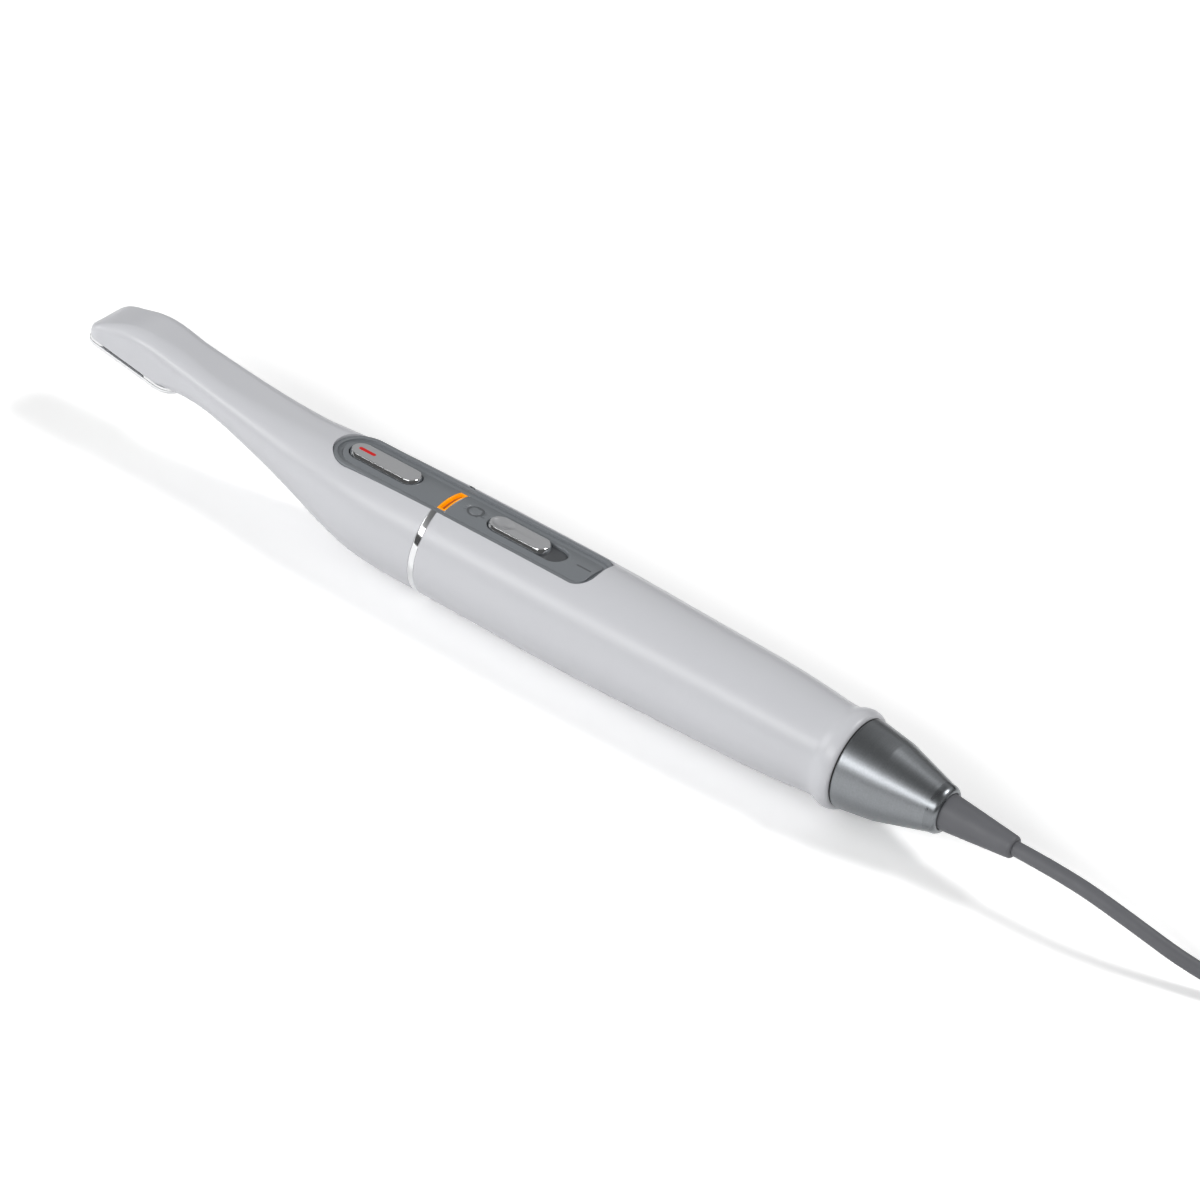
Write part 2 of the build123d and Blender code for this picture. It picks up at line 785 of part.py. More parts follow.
def plug_overmould():
    """Moulded grip of the plug with its tapered boot."""
    boot = loft(
        [
            Plane.YZ * Circle(cord_diameter / 2 + 0.9),
            Plane.YZ.offset(plug_boot_length) * Circle(plug_thickness / 2 - 0.4),
        ]
    )
    grip = Pos(plug_boot_length + plug_length / 2, 0, 0) * Box(plug_length, plug_width, plug_thickness)
    grip = fillet(grip.edges().filter_by(Axis.X), 2.2)
    return plug_axis() * (boot + grip)


def plug_shell():
    """Folded metal shell of the plug with its four latch windows."""
    start = plug_boot_length + plug_length
    shell = Box(shell_length, shell_width, shell_thickness)
    shell -= Pos(shell_wall, 0, 0) * Box(
        shell_length, shell_width - 2 * shell_wall, shell_thickness - 2 * shell_wall
    )
    for side in (-1, 1):
        shell -= Pos(1.5, side * 2.6, 0) * Box(2.4, 2.2, 20)
    return plug_axis() * Pos(start + shell_length / 2, 0, 0) * shell


def plug_tongue():
    """Contact tongue inside the plug's shell."""
    start = plug_boot_length + plug_length + shell_wall
    length = shell_length - shell_wall - 0.6
    height = shell_thickness / 2 - shell_wall - tongue_thickness / 2
    tongue = Box(length, shell_width - 2 * shell_wall, tongue_thickness)
    return plug_axis() * Pos(start + length / 2, 0, height) * tongue


handpiece = [
    front_housing, rear_housing, joint_ring, button_panel, panel_gasket, capture_button,
    capture_mark, switch_plunger, tact_switch, power_slider, slider_lever, slide_switch,
    status_light, status_led, window_bezel, window_glass, led_board, leds, lens_barrel,
    lens_glass, optics_carrier, image_sensor, sensor_board, sensor_flex, main_board,
    board_chips, board_screws, chassis, wire_connector, inner_lead, threaded_collar,
    cord_clamp, cap_seal, end_cap, strain_relief,
]

os.makedirs("parts", exist_ok=True)
solids = {make.__name__: make() for make in handpiece}
span = Compound(children=[Pos(0, 0, 0) * shape for shape in solids.values()]).bounding_box()
place = Pos(-(span.min.X + span.max.X) / 2, 0, -span.min.Z)
solids = {name: place * shape for name, shape in solids.items()}
cord_exit = (place * Pos(relief_end, 0, 0)).position
for make in (cord_run, cord_hank):
    solids[make.__name__] = make(cord_exit)
for make in (cord_tie, plug_overmould, plug_shell, plug_tongue):
    solids[make.__name__] = make()
for name, shape in solids.items():
    export_step(shape, f"parts/{name}.step")
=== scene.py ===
import bmesh
import bpy
import math
import numpy as np
from bpy.props import FloatProperty, PointerProperty, StringProperty
from mathutils import Matrix, Vector
from types import SimpleNamespace


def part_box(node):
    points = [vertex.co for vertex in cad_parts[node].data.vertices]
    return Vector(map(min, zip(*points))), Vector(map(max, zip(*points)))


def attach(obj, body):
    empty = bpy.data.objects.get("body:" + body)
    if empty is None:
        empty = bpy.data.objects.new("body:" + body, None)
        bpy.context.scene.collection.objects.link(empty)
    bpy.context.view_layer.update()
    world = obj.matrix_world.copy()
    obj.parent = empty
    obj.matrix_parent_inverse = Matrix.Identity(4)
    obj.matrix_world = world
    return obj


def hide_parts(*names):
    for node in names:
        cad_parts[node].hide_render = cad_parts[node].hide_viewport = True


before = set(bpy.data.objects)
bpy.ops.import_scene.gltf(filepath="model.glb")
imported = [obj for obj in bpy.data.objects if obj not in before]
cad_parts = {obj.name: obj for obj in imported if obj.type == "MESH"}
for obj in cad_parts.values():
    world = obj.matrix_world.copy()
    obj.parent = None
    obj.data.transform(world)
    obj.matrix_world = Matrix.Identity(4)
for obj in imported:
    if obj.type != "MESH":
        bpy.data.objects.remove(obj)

bl_info = {
    "name": "Intraoral camera",
    "version": (1, 0, 0),
    "blender": (4, 5, 0),
    "location": "View3D > Sidebar > Camera part",
    "description": "Surfaces, cord and studio for an intraoral camera handpiece",
    "category": "Object",
}

MM = 0.001
CREASE_DEGREES = 32

# The joint ring's place, the window seat under the head, and the deck's crowned floor.
RING_FRONT = 84.7
RING_MIDDLE = 85.4
SEAT_HEIGHT = 7.04
SEAT_SLOPE = 0.153
CROWN_RADIUS = 14
CROWN_RISE = 0.1

# The neck's section: station, height of its underside and its corner radii above and below.
NECK = 26.75
NECK_BOTTOM = 3.35
NECK_TOP_CORNER = 4.1
NECK_BOTTOM_CORNER = 3.0

# Places along the deck, measured from the joint ring.
DECK_FRONT = 57.9
DECK_REAR = 120.8
DECK_MIDDLE = ((DECK_FRONT + DECK_REAR) / 2 - RING_MIDDLE, 0)
CAPTURE_AT = (69.2 - RING_MIDDLE, 0)
CIRCLE_AT = 90.8 - RING_MIDDLE
SLIDER_AT = (101.3 - RING_MIDDLE, 0)
TRACK_AT = (103.2 - RING_MIDDLE, 0)
BAR_AT = (116.5 - RING_MIDDLE, 0)
SLIDER_TRAVEL = 3.8
BUTTON_CLEARANCE = 0.24

# The put-away cord: where the hank starts, its folds, its top, the tail over it and its layers.
HANK_START = 174.4
FOLD_RADIUS = 16.5
HANK_TOP = 12.3
TAIL_RISE = 4.1
FIRST_LAYER = 1.6
LAYER_RISE = 3.05

# Stations run from the tip of the head towards the cord and heights are above the
# body axis, both in millimetres. The strain relief's far end is station 218.
relief_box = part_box("strain_relief")
X_ZERO = relief_box[1].x / MM - 218.0
AXIS_HEIGHT = (relief_box[0].z + relief_box[1].z) / 2 / MM


def place(point):
    """A point by station, side and height in millimetres, in the frame's metres."""
    return Vector(((point[0] + X_ZERO) * MM, point[1] * MM, (point[2] + AXIS_HEIGHT) * MM))


def length_property(name, description, millimetres):
    """A length that is given in millimetres and kept in metres."""
    return FloatProperty(name=name, description=description, default=millimetres * MM, unit="LENGTH")


class HousingSizes(bpy.types.PropertyGroup):
    body_radius: length_property("Body radius", "Radius at the joint ring", 11.3)
    belly_radius: length_property("Belly radius", "Largest radius of the rear grip", 11.5)
    ring_width: length_property("Ring width", "Length of the joint ring along the body", 1.4)
    wall: length_property("Wall", "Wall of the mouldings", 1.3)
    head_width: length_property("Head width", "Width of the window head", 12.4)
    neck_width: length_property("Neck width", "Width of the neck behind the head", 12.6)


class DeckSizes(bpy.types.PropertyGroup):
    deck_width: length_property("Deck width", "Width of the button panel", 12.3)
    rim: length_property("Rim", "Width of the panel's flat rim", 0.9)
    groove: length_property("Groove", "Width of the groove inside the rim", 1.05)
    groove_depth: length_property("Groove depth", "Depth of that groove", 0.55)
    button_width: length_property("Button width", "Width of both buttons", 5.2)
    capture_length: length_property("Capture length", "Length of the press button", 16.5)
    slider_length: length_property("Slider length", "Length of the slide button", 14.2)
    mark_line: length_property("Mark line", "Line width of the engraved marks", 0.5)


class CordSizes(bpy.types.PropertyGroup):
    diameter: length_property("Diameter", "Outside diameter of the cord", 3.0)
    hank_run: length_property("Hank run", "Straight part of the hank's turns", 45)


class Colours(bpy.types.PropertyGroup):
    housing: StringProperty(name="Housing", description="Light grey of the mouldings", default="#c6c7cb")
    deck: StringProperty(name="Deck", description="Grey of the button panel", default="#74787c")
    button: StringProperty(name="Buttons", description="Grey of the button tops", default="#adaeb0")
    capture_mark: StringProperty(name="Capture mark", description="Red of the inlay", default="#cf0a0a")
    lamp: StringProperty(name="Status light", description="Amber of the light pipe", default="#f59a00")
    cap: StringProperty(name="End cap", description="Dark metal of the end cap", default="#85888b")
    cord: StringProperty(name="Cord", description="Grey of the cord and its strain relief", default="#5f6064")


def in_mm(group):
    """A group's lengths in millimetres, by name."""
    lengths = [p.identifier for p in group.bl_rna.properties if getattr(p, "unit", "") == "LENGTH"]
    return SimpleNamespace(**{name: getattr(group, name) / MM for name in lengths})


def spline_through(knots, step):
    """Points along a smooth curve through rows of numbers, about step apart."""
    knots = np.array(knots, float)
    run = np.r_[0, np.cumsum(np.linalg.norm(np.diff(knots, axis=0), axis=1))]
    h = np.diff(run)
    n = len(knots)
    system, right = np.eye(n), np.zeros_like(knots)
    for i in range(1, n - 1):
        system[i, i - 1], system[i, i], system[i, i + 1] = h[i - 1], 2 * (h[i - 1] + h[i]), h[i]
        right[i] = 6 * ((knots[i + 1] - knots[i]) / h[i] - (knots[i] - knots[i - 1]) / h[i - 1])
    bend = np.linalg.solve(system, right)
    rows = []
    for i in range(n - 1):
        count = max(4, math.ceil(h[i] / step))
        for k in range(count + (i == n - 2)):
            a = k / count
            b = 1 - a
            rows.append(
                b * knots[i] + a * knots[i + 1]
                + ((b**3 - b) * bend[i] + (a**3 - a) * bend[i + 1]) * h[i] ** 2 / 6
            )
    return rows


def rounded(length, width, corners, arc=12, side=6):
    """Outline round the origin, counterclockwise, with a radius for each corner from +x +y on."""
    limit = min(length, width) / 2 - 0.004
    corners = [min(max(r, 0.02), limit) for r in corners]
    signs = [(1, 1), (-1, 1), (-1, -1), (1, -1)]
    points = []
    for i, ((sx, sy), r) in enumerate(zip(signs, corners)):
        cx, cy = sx * (length / 2 - r), sy * (width / 2 - r)
        for k in range(arc + 1):
            turn = math.pi / 2 * (i + k / arc)
            points.append((cx + r * math.cos(turn), cy + r * math.sin(turn)))
        (nx, ny), q = signs[(i + 1) % 4], corners[(i + 1) % 4]
        start = points[-1]
        turn = math.pi / 2 * (i + 1)
        end = (nx * (length / 2 - q) + q * math.cos(turn), ny * (width / 2 - q) + q * math.sin(turn))
        for k in range(1, side):
            share = k / side
            points.append((start[0] + (end[0] - start[0]) * share, start[1] + (end[1] - start[1]) * share))
    return points


def ended(length, width, front, rear, inset=0.0, arc=12, side=6):
    """Outline with one corner radius in front, towards -x, and another behind."""
    front, rear = front - inset, rear - inset
    return rounded(length - 2 * inset, width - 2 * inset, (rear, front, front, rear), arc, side)


def stadium(length, width, inset=0.0, arc=14, side=6):
    """Outline with round ends."""
    return ended(length, width, width / 2, width / 2, inset, arc, side)


def skin(rings, closed=False, marks=None):
    """Vertices, faces and a material index for each face, over rings of equally many points."""
    count = len(rings[0])
    verts = [tuple(p) for ring in rings for p in ring]
    faces, slots = [], []
    pairs = [(i, i + 1) for i in range(len(rings) - 1)] + ([(len(rings) - 1, 0)] if closed else [])
    for a, b in pairs:
        for k in range(count):
            n = (k + 1) % count
            faces.append((a * count + k, a * count + n, b * count + n, b * count + k))
            slots.append(marks[a] if marks else 0)
    if not closed:
        faces.append(tuple(range(count)))
        slots.append(marks[0] if marks else 0)
        faces.append(tuple((len(rings) - 1) * count + k for k in range(count)))
        slots.append(marks[-1] if marks else 0)
    return verts, faces, slots


def solid(name, parts, materials):
    """A closed object from one or more skins, with its faces outwards and its seams closed."""
    bm = bmesh.new()
    for verts, faces, slots in parts:
        made = [bm.verts.new(v) for v in verts]
        for face, slot in zip(faces, slots):
            bm.faces.new([made[i] for i in face]).material_index = slot
    bmesh.ops.remove_doubles(bm, verts=bm.verts, dist=1e-7)
    bmesh.ops.dissolve_degenerate(bm, edges=bm.edges, dist=1e-8)
    bmesh.ops.recalc_face_normals(bm, faces=bm.faces)
    mesh = bpy.data.meshes.new(name)
    bm.to_mesh(mesh)
    bm.free()
    for material in materials:
        mesh.materials.append(material)
    smooth(mesh)
    obj = bpy.data.objects.new(name, mesh)
    bpy.context.scene.collection.objects.link(obj)
    return obj


def smooth(mesh):
    """Smooth faces that break at edges sharper than the crease angle."""
    for face in mesh.polygons:
        face.use_smooth = True
    mesh.set_sharp_from_angle(angle=math.radians(CREASE_DEGREES))


def carve(obj, cutters):
    """Cuts closed objects out of obj, and leaves a plain mesh that shades by its larger faces."""
    tool = gathered("cutters", cutters, [])
    cut = obj.modifiers.new("cut", "BOOLEAN")
    cut.object, cut.operation, cut.solver, cut.use_self = tool, "DIFFERENCE", "EXACT", True
    settle(obj)
    bpy.data.meshes.remove(tool.data)
    shade_by_area(obj)


def shade_by_area(obj):
    """Smooth shading that the larger faces lead, with sharp edges kept."""
    smooth(obj.data)
    obj.modifiers.new("shade", "WEIGHTED_NORMAL").keep_sharp = True
    settle(obj)


def gathered(name, objects, materials):
    """One object from the meshes of several, which go."""
    bm = bmesh.new()
    for obj in objects:
        bm.from_mesh(obj.data)
    mesh = bpy.data.meshes.new(name)
    bm.to_mesh(mesh)
    bm.free()
    for material in materials:
        mesh.materials.append(material)
    for obj in objects:
        bpy.data.meshes.remove(obj.data)
    made = bpy.data.objects.new(name, mesh)
    bpy.context.scene.collection.objects.link(made)
    return made


def settle(obj):
    """Turns an object's modifiers into its mesh."""
    graph = bpy.context.evaluated_depsgraph_get()
    shown = obj.evaluated_get(graph)
    mesh = bpy.data.meshes.new_from_object(shown, preserve_all_data_layers=True, depsgraph=graph)
    obj.modifiers.clear()
    old, obj.data = obj.data, mesh
    mesh.name = obj.name
    if old.users == 0:
        bpy.data.meshes.remove(old)


def turned(name, profile, materials, marks=None, around=160):
    """A solid turned about the body axis from station and radius pairs."""
    rings = []
    for station, radius in profile:
        ring = []
        for k in range(around):
            turn = 2 * math.pi * k / around
            ring.append(place((station, radius * math.cos(turn), radius * math.sin(turn))))
        rings.append(ring)
    return solid(name, [skin(rings, True, marks)], materials)


def tilted(origin, slope):
    """A maker of points in a local frame that leans about the cross axis; slope is its fall per length."""
    lean = math.atan(slope)
    c, s = math.cos(lean), math.sin(lean)

    def local(u, v, w):
        return place((origin[0] + u * c + w * s, v, origin[2] - u * s + w * c))

    return local


on_deck = tilted((RING_MIDDLE, 0, 9.22), -math.tan(math.radians(0.6)))
on_head = tilted((11.0, 0, SEAT_HEIGHT - SEAT_SLOPE * 11.0), SEAT_SLOPE)


def plate(local, outline, profile, centre=(0, 0), crown=None, closed=False, marks=None):
    """A skin over an outline's insets: profile holds inset, height and how much of the crown it follows."""
    rings = []
    for inset, height, follow in profile:
        ring = []
        for x, y in outline(inset):
            lift = crown(x + centre[0], y + centre[1]) * follow if crown else 0.0
            ring.append(local(x + centre[0], y + centre[1], height + lift))
        rings.append(ring)
    return skin(rings, closed, marks)


def round_over(radius):
    """Insets and heights of a rounded outer top edge, from the wall to the flat."""
    turns = [math.pi / 2 * k / 4 for k in range(5)]
    return [(radius * (1 - math.cos(turn)), -radius * (1 - math.sin(turn))) for turn in turns]


def linear(code):
    """A linear colour from an sRGB hex code."""
    parts = [int(code[i:i + 2], 16) / 255 for i in (1, 3, 5)]
    return tuple(c / 12.92 if c <= 0.04045 else ((c + 0.055) / 1.055) ** 2.4 for c in parts) + (1.0,)


def give(socket, value):
    """Sets a socket to a value, or links the socket that feeds it."""
    if isinstance(value, bpy.types.NodeSocket):
        socket.id_data.links.new(value, socket)
    else:
        socket.default_value = value


def add(tree, kind, inputs=None, **settings):
    """Adds a node with its settings; an input is a value or the socket that feeds it."""
    node = tree.nodes.new(kind)
    for key, value in settings.items():
        setattr(node, key, value)
    for key, value in (inputs or {}).items():
        give(node.inputs[key], value)
    return node


def start(name):
    """An empty material with its shader, its output and object coordinates."""
    material = bpy.data.materials.new(name)
    material.use_nodes = True
    tree = material.node_tree
    tree.nodes.clear()
    shader = add(tree, "ShaderNodeBsdfPrincipled")
    add(tree, "ShaderNodeOutputMaterial", {"Surface": shader.outputs[0]})
    where = add(tree, "ShaderNodeTexCoord").outputs["Object"]
    return material, tree, shader, where


def noise(tree, where, size, detail=3.0):
    """Noise over patches of this size."""
    inputs = {"Vector": where, "Scale": 1 / size, "Detail": detail}
    return add(tree, "ShaderNodeTexNoise", inputs).outputs[0]


def spread(tree, value, low, high, least=0.0, most=1.0):
    """Maps the values from least to most onto those from low to high."""
    inputs = {"Value": value, "From Min": least, "From Max": most, "To Min": low, "To Max": high}
    return add(tree, "ShaderNodeMapRange", inputs).outputs[0]


def dapple(tree, where, size, low, high, detail=3.0):
    """A value that wanders between low and high over patches of this size."""
    return spread(tree, noise(tree, where, size, detail), low, high, 0.3, 0.7)


def relief(tree, shader, height, depth, strength=1.0):
    """Raises the surface by a height pattern."""
    bump = add(tree, "ShaderNodeBump", {"Height": height, "Distance": depth, "Strength": strength})
    give(shader.inputs["Normal"], bump.outputs[0])


def scaled(tree, code, shade):
    """A colour made lighter or darker by a factor."""
    mix = add(tree, "ShaderNodeVectorMath", {0: linear(code)[:3], "Scale": shade}, operation="SCALE")
    return mix.outputs[0]


def tinted(tree, where, code, size, amount):
    """A colour with slow, slight changes of lightness."""
    return scaled(tree, code, dapple(tree, where, size, 1 - amount, 1 + amount))


def set_inputs(shader, **values):
    """Gives inputs by name, with underscores for spaces."""
    for key, value in values.items():
        give(shader.inputs[key.replace("_", " ")], value)


def gloss_moulding(code):
    """ABS from a polished tool: a clear, even gloss that drifts a little along the body."""
    material, tree, shader, where = start("gloss_abs_moulding")
    colour = tinted(tree, where, code, 30 * MM, 0.006)
    rough = dapple(tree, where, 22 * MM, 0.29, 0.33, 0.0)
    set_inputs(shader, Base_Color=colour, Roughness=rough, IOR=1.46)
    return material


def satin_deck(code):
    """Spark-eroded polycarbonate: a soft sheen over a fine grain, drawn at 0.3 mm so that it shows."""
    material, tree, shader, where = start("satin_polycarbonate")
    colour = tinted(tree, where, code, 7 * MM, 0.02)
    set_inputs(shader, Base_Color=colour, Roughness=dapple(tree, where, 3 * MM, 0.34, 0.42), IOR=1.55)
    relief(tree, shader, noise(tree, where, 0.3 * MM, 2.0), 0.008 * MM, 0.4)
    return material


def satin_button(code):
    """Silver lacquer on a plated button: fine metal flake under a silky coat."""
    material, tree, shader, where = start("silver_lacquer")
    flake = add(tree, "ShaderNodeTexVoronoi", {"Vector": where, "Scale": 1 / (0.12 * MM)})
    colour = scaled(tree, code, spread(tree, flake.outputs["Distance"], 0.97, 1.03))
    set_inputs(shader, Base_Color=colour, Roughness=dapple(tree, where, 2 * MM, 0.30, 0.36), Metallic=0.35)
    return material


def bright_plating():
    """Chrome over nickel: a mirror with a trace of polishing haze."""
    material, tree, shader, where = start("chrome_plating")
    rough = dapple(tree, where, 1.5 * MM, 0.05, 0.10)
    set_inputs(shader, Base_Color=linear("#dcddde"), Roughness=rough, Metallic=1.0)
    return material


def turned_metal(code):
    """Bead-blasted and turned aluminium, dark anodised: fine rings round the axis over a soft grain."""
    material, tree, shader, where = start("dark_anodised_aluminium")
    along = add(tree, "ShaderNodeSeparateXYZ", {0: where})
    line = add(tree, "ShaderNodeCombineXYZ", {0: along.outputs[0]})
    rings = noise(tree, line.outputs[0], 0.22 * MM)
    blend = add(tree, "ShaderNodeMath", {0: rings, 1: noise(tree, where, 0.35 * MM, 2.0)}).outputs[0]
    colour = scaled(tree, code, spread(tree, blend, 0.9, 1.1, 0.6, 1.4))
    rough = spread(tree, rings, 0.30, 0.42, 0.3, 0.7)
    set_inputs(shader, Base_Color=colour, Roughness=rough, Metallic=1.0)
    relief(tree, shader, blend, 0.006 * MM, 0.5)
    return material


def polished_metal(code):
    """The same aluminium where the edge is polished bright."""
    material, tree, shader, where = start("polished_aluminium")
    colour = tinted(tree, where, code, 2 * MM, 0.02)
    set_inputs(shader, Base_Color=colour, Roughness=dapple(tree, where, 1 * MM, 0.26, 0.32), Metallic=1.0)
    return material


def soft_jacket(code):
    """Matte TPE: a dry, even surface with a faint grain."""
    material, tree, shader, where = start("matte_tpe")
    colour = tinted(tree, where, code, 5 * MM, 0.03)
    set_inputs(shader, Base_Color=colour, Roughness=dapple(tree, where, 2 * MM, 0.52, 0.62))
    relief(tree, shader, noise(tree, where, 0.25 * MM, 2.0), 0.008 * MM, 0.5)
    return material


def inlay(name, code, rough):
    """Coloured acrylic or paint with an even surface; it also makes the darker amber of painted shade on the
    light pipe's trough floor.
    """
    material, tree, shader, where = start(name)
    set_inputs(shader, Base_Color=tinted(tree, where, code, 1.5 * MM, 0.02), Roughness=rough)
    return material


def light_pipe(code):
    """Amber acrylic with the lamp behind it: saturated and a little lit from within."""
    material, tree, shader, where = start("amber_acrylic")
    colour = scaled(tree, code, dapple(tree, where, 2.2 * MM, 0.8, 1.1))
    set_inputs(shader, Base_Color=colour, Emission_Color=colour, Roughness=0.25, Emission_Strength=0.3)
    return material


def clear_glass():
    """Thin optical glass: clear, with a cool tint."""
    material, tree, shader, where = start("optical_glass")
    colour = tinted(tree, where, "#eef4f5", 4 * MM, 0.005)
    set_inputs(shader, Base_Color=colour, Roughness=0.02, IOR=1.5, Transmission_Weight=1.0)
    return material


def plain_plastic(name, code, rough):
    """Injection-moulded inner parts: even colour, fine grain, no polish; it also makes the dark grey of
    painted shade in the slider track.
    """
    material, tree, shader, where = start(name)
    grain = noise(tree, where, 0.6 * MM)
    colour = tinted(tree, where, code, 3 * MM, 0.03)
    set_inputs(shader, Base_Color=colour, Roughness=spread(tree, grain, rough - 0.05, rough + 0.05, 0.3, 0.7))
    relief(tree, shader, grain, 0.01 * MM, 0.4)
    return material


def plain_metal(name, code, rough):
    """Plain machined or plated metal with slight handling marks."""
    material, tree, shader, where = start(name)
    colour = tinted(tree, where, code, 2 * MM, 0.03)
    value = dapple(tree, where, 0.8 * MM, rough - 0.05, rough + 0.08)
    set_inputs(shader, Base_Color=colour, Roughness=value, Metallic=1.0)
    return material


def woven_strap(code):
    """Woven nylon tape: two thread directions crossing at a 0.5 mm pitch."""
    material, tree, shader, where = start("woven_nylon")
    waves = []
    for direction in ("X", "DIAGONAL"):
        inputs = {"Vector": where, "Scale": 1 / (0.5 * MM) / 20}
        wave = add(tree, "ShaderNodeTexWave", inputs, bands_direction=direction)
        waves.append(wave.outputs[1])
    weave = add(tree, "ShaderNodeMath", {0: waves[0], 1: waves[1]}, operation="MULTIPLY").outputs[0]
    colour = scaled(tree, code, spread(tree, weave, 0.7, 1.3))
    set_inputs(shader, Base_Color=colour, Roughness=0.8, Sheen_Weight=0.3)
    relief(tree, shader, weave, 0.08 * MM)
    return material


FINISHES = {}


def finish_of(name):
    """A finish by name, made once."""
    if name not in FINISHES:
        c = bpy.context.scene.camera_colours
        makers = {
            "housing": (gloss_moulding, c.housing),
            "deck": (satin_deck, c.deck),
            "button": (satin_button, c.button),
            "chrome": (bright_plating,),
            "red": (inlay, "red_inlay", c.capture_mark, 0.45),
            # Painted shade: a darker amber for the light pipe's trough floor, standing in for the shade in
            # that recess.
            "amber_floor_shade": (inlay, "amber_acrylic_painted_shade", "#b35c00", 0.4),
            # Painted shade: the slider track's floor is a dark grey sheet standing in for the shade in its
            # deep hollow.
            "track": (plain_plastic, "painted_shade_track", "#4a4c4f", 0.5),
            "groove_paint": (inlay, "dark_mark_paint", "#56595c", 0.5),
            "amber": (light_pipe, c.lamp),
            "cap": (turned_metal, c.cap),
            "cap_edge": (polished_metal, "#7c7f82"),
            "jacket": (soft_jacket, c.cord),
            "glass": (clear_glass,),
            "board": (plain_plastic, "solder_mask", "#0f5a34", 0.35),
            "black": (plain_plastic, "black_nylon", "#151617", 0.5),
            "grey_nylon": (plain_plastic, "glass_filled_nylon", "#3a3c3f", 0.55),
            "natural": (plain_plastic, "natural_nylon", "#e6dfca", 0.45),
            "film": (plain_plastic, "polyimide_film", "#b4691c", 0.3),
            "rubber": (plain_plastic, "black_silicone", "#191919", 0.7),
            "lamp": (plain_plastic, "lamp_package", "#efe9b8", 0.25),
            "brass": (plain_metal, "turned_brass", "#b8934a", 0.3),
            "steel": (plain_metal, "zinc_plated_steel", "#9b9c9f", 0.35),
            "nickel": (plain_metal, "nickel_plated_shell", "#c6c4bf", 0.18),
            "strap": (woven_strap, "#26272a"),
        }
        maker, *values = makers[name]
        FINISHES[name] = maker(*values)
    return FINISHES[name]


def keep(obj, body, slot, *nodes):
    """Puts a finished piece on its body and lets it stand for CAD nodes, which it hides; the slot argument is
    not used.
    """
    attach(obj, body)
    if nodes:
        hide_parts(*nodes)


def front_rows(s):
    """Sections of the front housing: station, width, top, bottom, top corner, bottom corner."""
    def head(station, width, top, top_corner, bottom_corner):
        return (station, width, top, SEAT_HEIGHT - SEAT_SLOPE * station - 0.15, top_corner, bottom_corner)

    def shoulder(share, spread_share, fall, drop, top_share, bottom_share):
        full = s.body_radius - 0.05
        return (
            NECK + share * (RING_FRONT - NECK),
            s.neck_width + spread_share * (2 * s.body_radius - s.neck_width),
            s.body_radius - drop,
            NECK_BOTTOM - fall * (s.body_radius + NECK_BOTTOM),
            NECK_TOP_CORNER + top_share * (full - NECK_TOP_CORNER),
            NECK_BOTTOM_CORNER + bottom_share * (full - NECK_BOTTOM_CORNER),
        )

    w = s.head_width
    return [
        head(0.0, 7.0, 8.1, 0.5, 0.3),
        head(0.35, 9.6, 8.75, 0.9, 0.3),
        head(1.1, w - 1.1, 9.3, 1.5, 0.3),
        head(2.4, w - 0.1, 9.96, 2.1, 0.3),
        head(4.5, w, 10.8, 2.6, 0.3),
        head(8.5, w, 12.1, 3.0, 0.3),
        head(12.5, w, 12.7, 3.3, 0.3),
        head(17.2, w, 12.38, 3.7, 0.35),
        head(20.4, w - 0.1, 11.9, 4.0, 1.7),
        (NECK, s.neck_width, 10.8, NECK_BOTTOM, NECK_TOP_CORNER, NECK_BOTTOM_CORNER),
        shoulder(0.21, 0.14, 0.20, 1.80, 0.145, 0.145),
        shoulder(0.425, 0.40, 0.52, 2.10, 0.36, 0.46),
        shoulder(0.57, 0.64, 0.745, 1.85, 0.46, 0.65),
        shoulder(0.71, 0.87, 0.917, 1.49, 0.60, 0.88),
        shoulder(0.857, 0.97, 0.987, 0.56, 0.88, 0.98),
        shoulder(1.0, 1.0, 1.0, 0.0, 1.0, 1.0),
    ]


def housing_ring(row, inset):
    """One section of the front housing as a ring of placed points."""
    station, width, top, bottom, top_corner, bottom_corner = row
    corners = [max(r - inset, 0.3) for r in (top_corner, top_corner, bottom_corner, bottom_corner)]
    outline = rounded(width - 2 * inset, top - bottom - 2 * inset, corners, arc=14, side=5)
    return [place((station, -y, z + (top + bottom) / 2)) for y, z in outline]


def deck_outline(deck):
    """Maker of the button panel's outline at an inset."""
    length, front = DECK_REAR - DECK_FRONT, deck.deck_width / 2 - 0.05
    return lambda inset: ended(length, deck.deck_width, front, 3.6, inset, arc=16, side=24)


def deck_cutter(deck):
    """The pocket that the button panel sits in."""
    profile = [(-0.1, -1.9, 0), (-0.1, 9, 0)]
    return solid("pocket", [plate(on_deck, deck_outline(deck), profile, DECK_MIDDLE)], [])


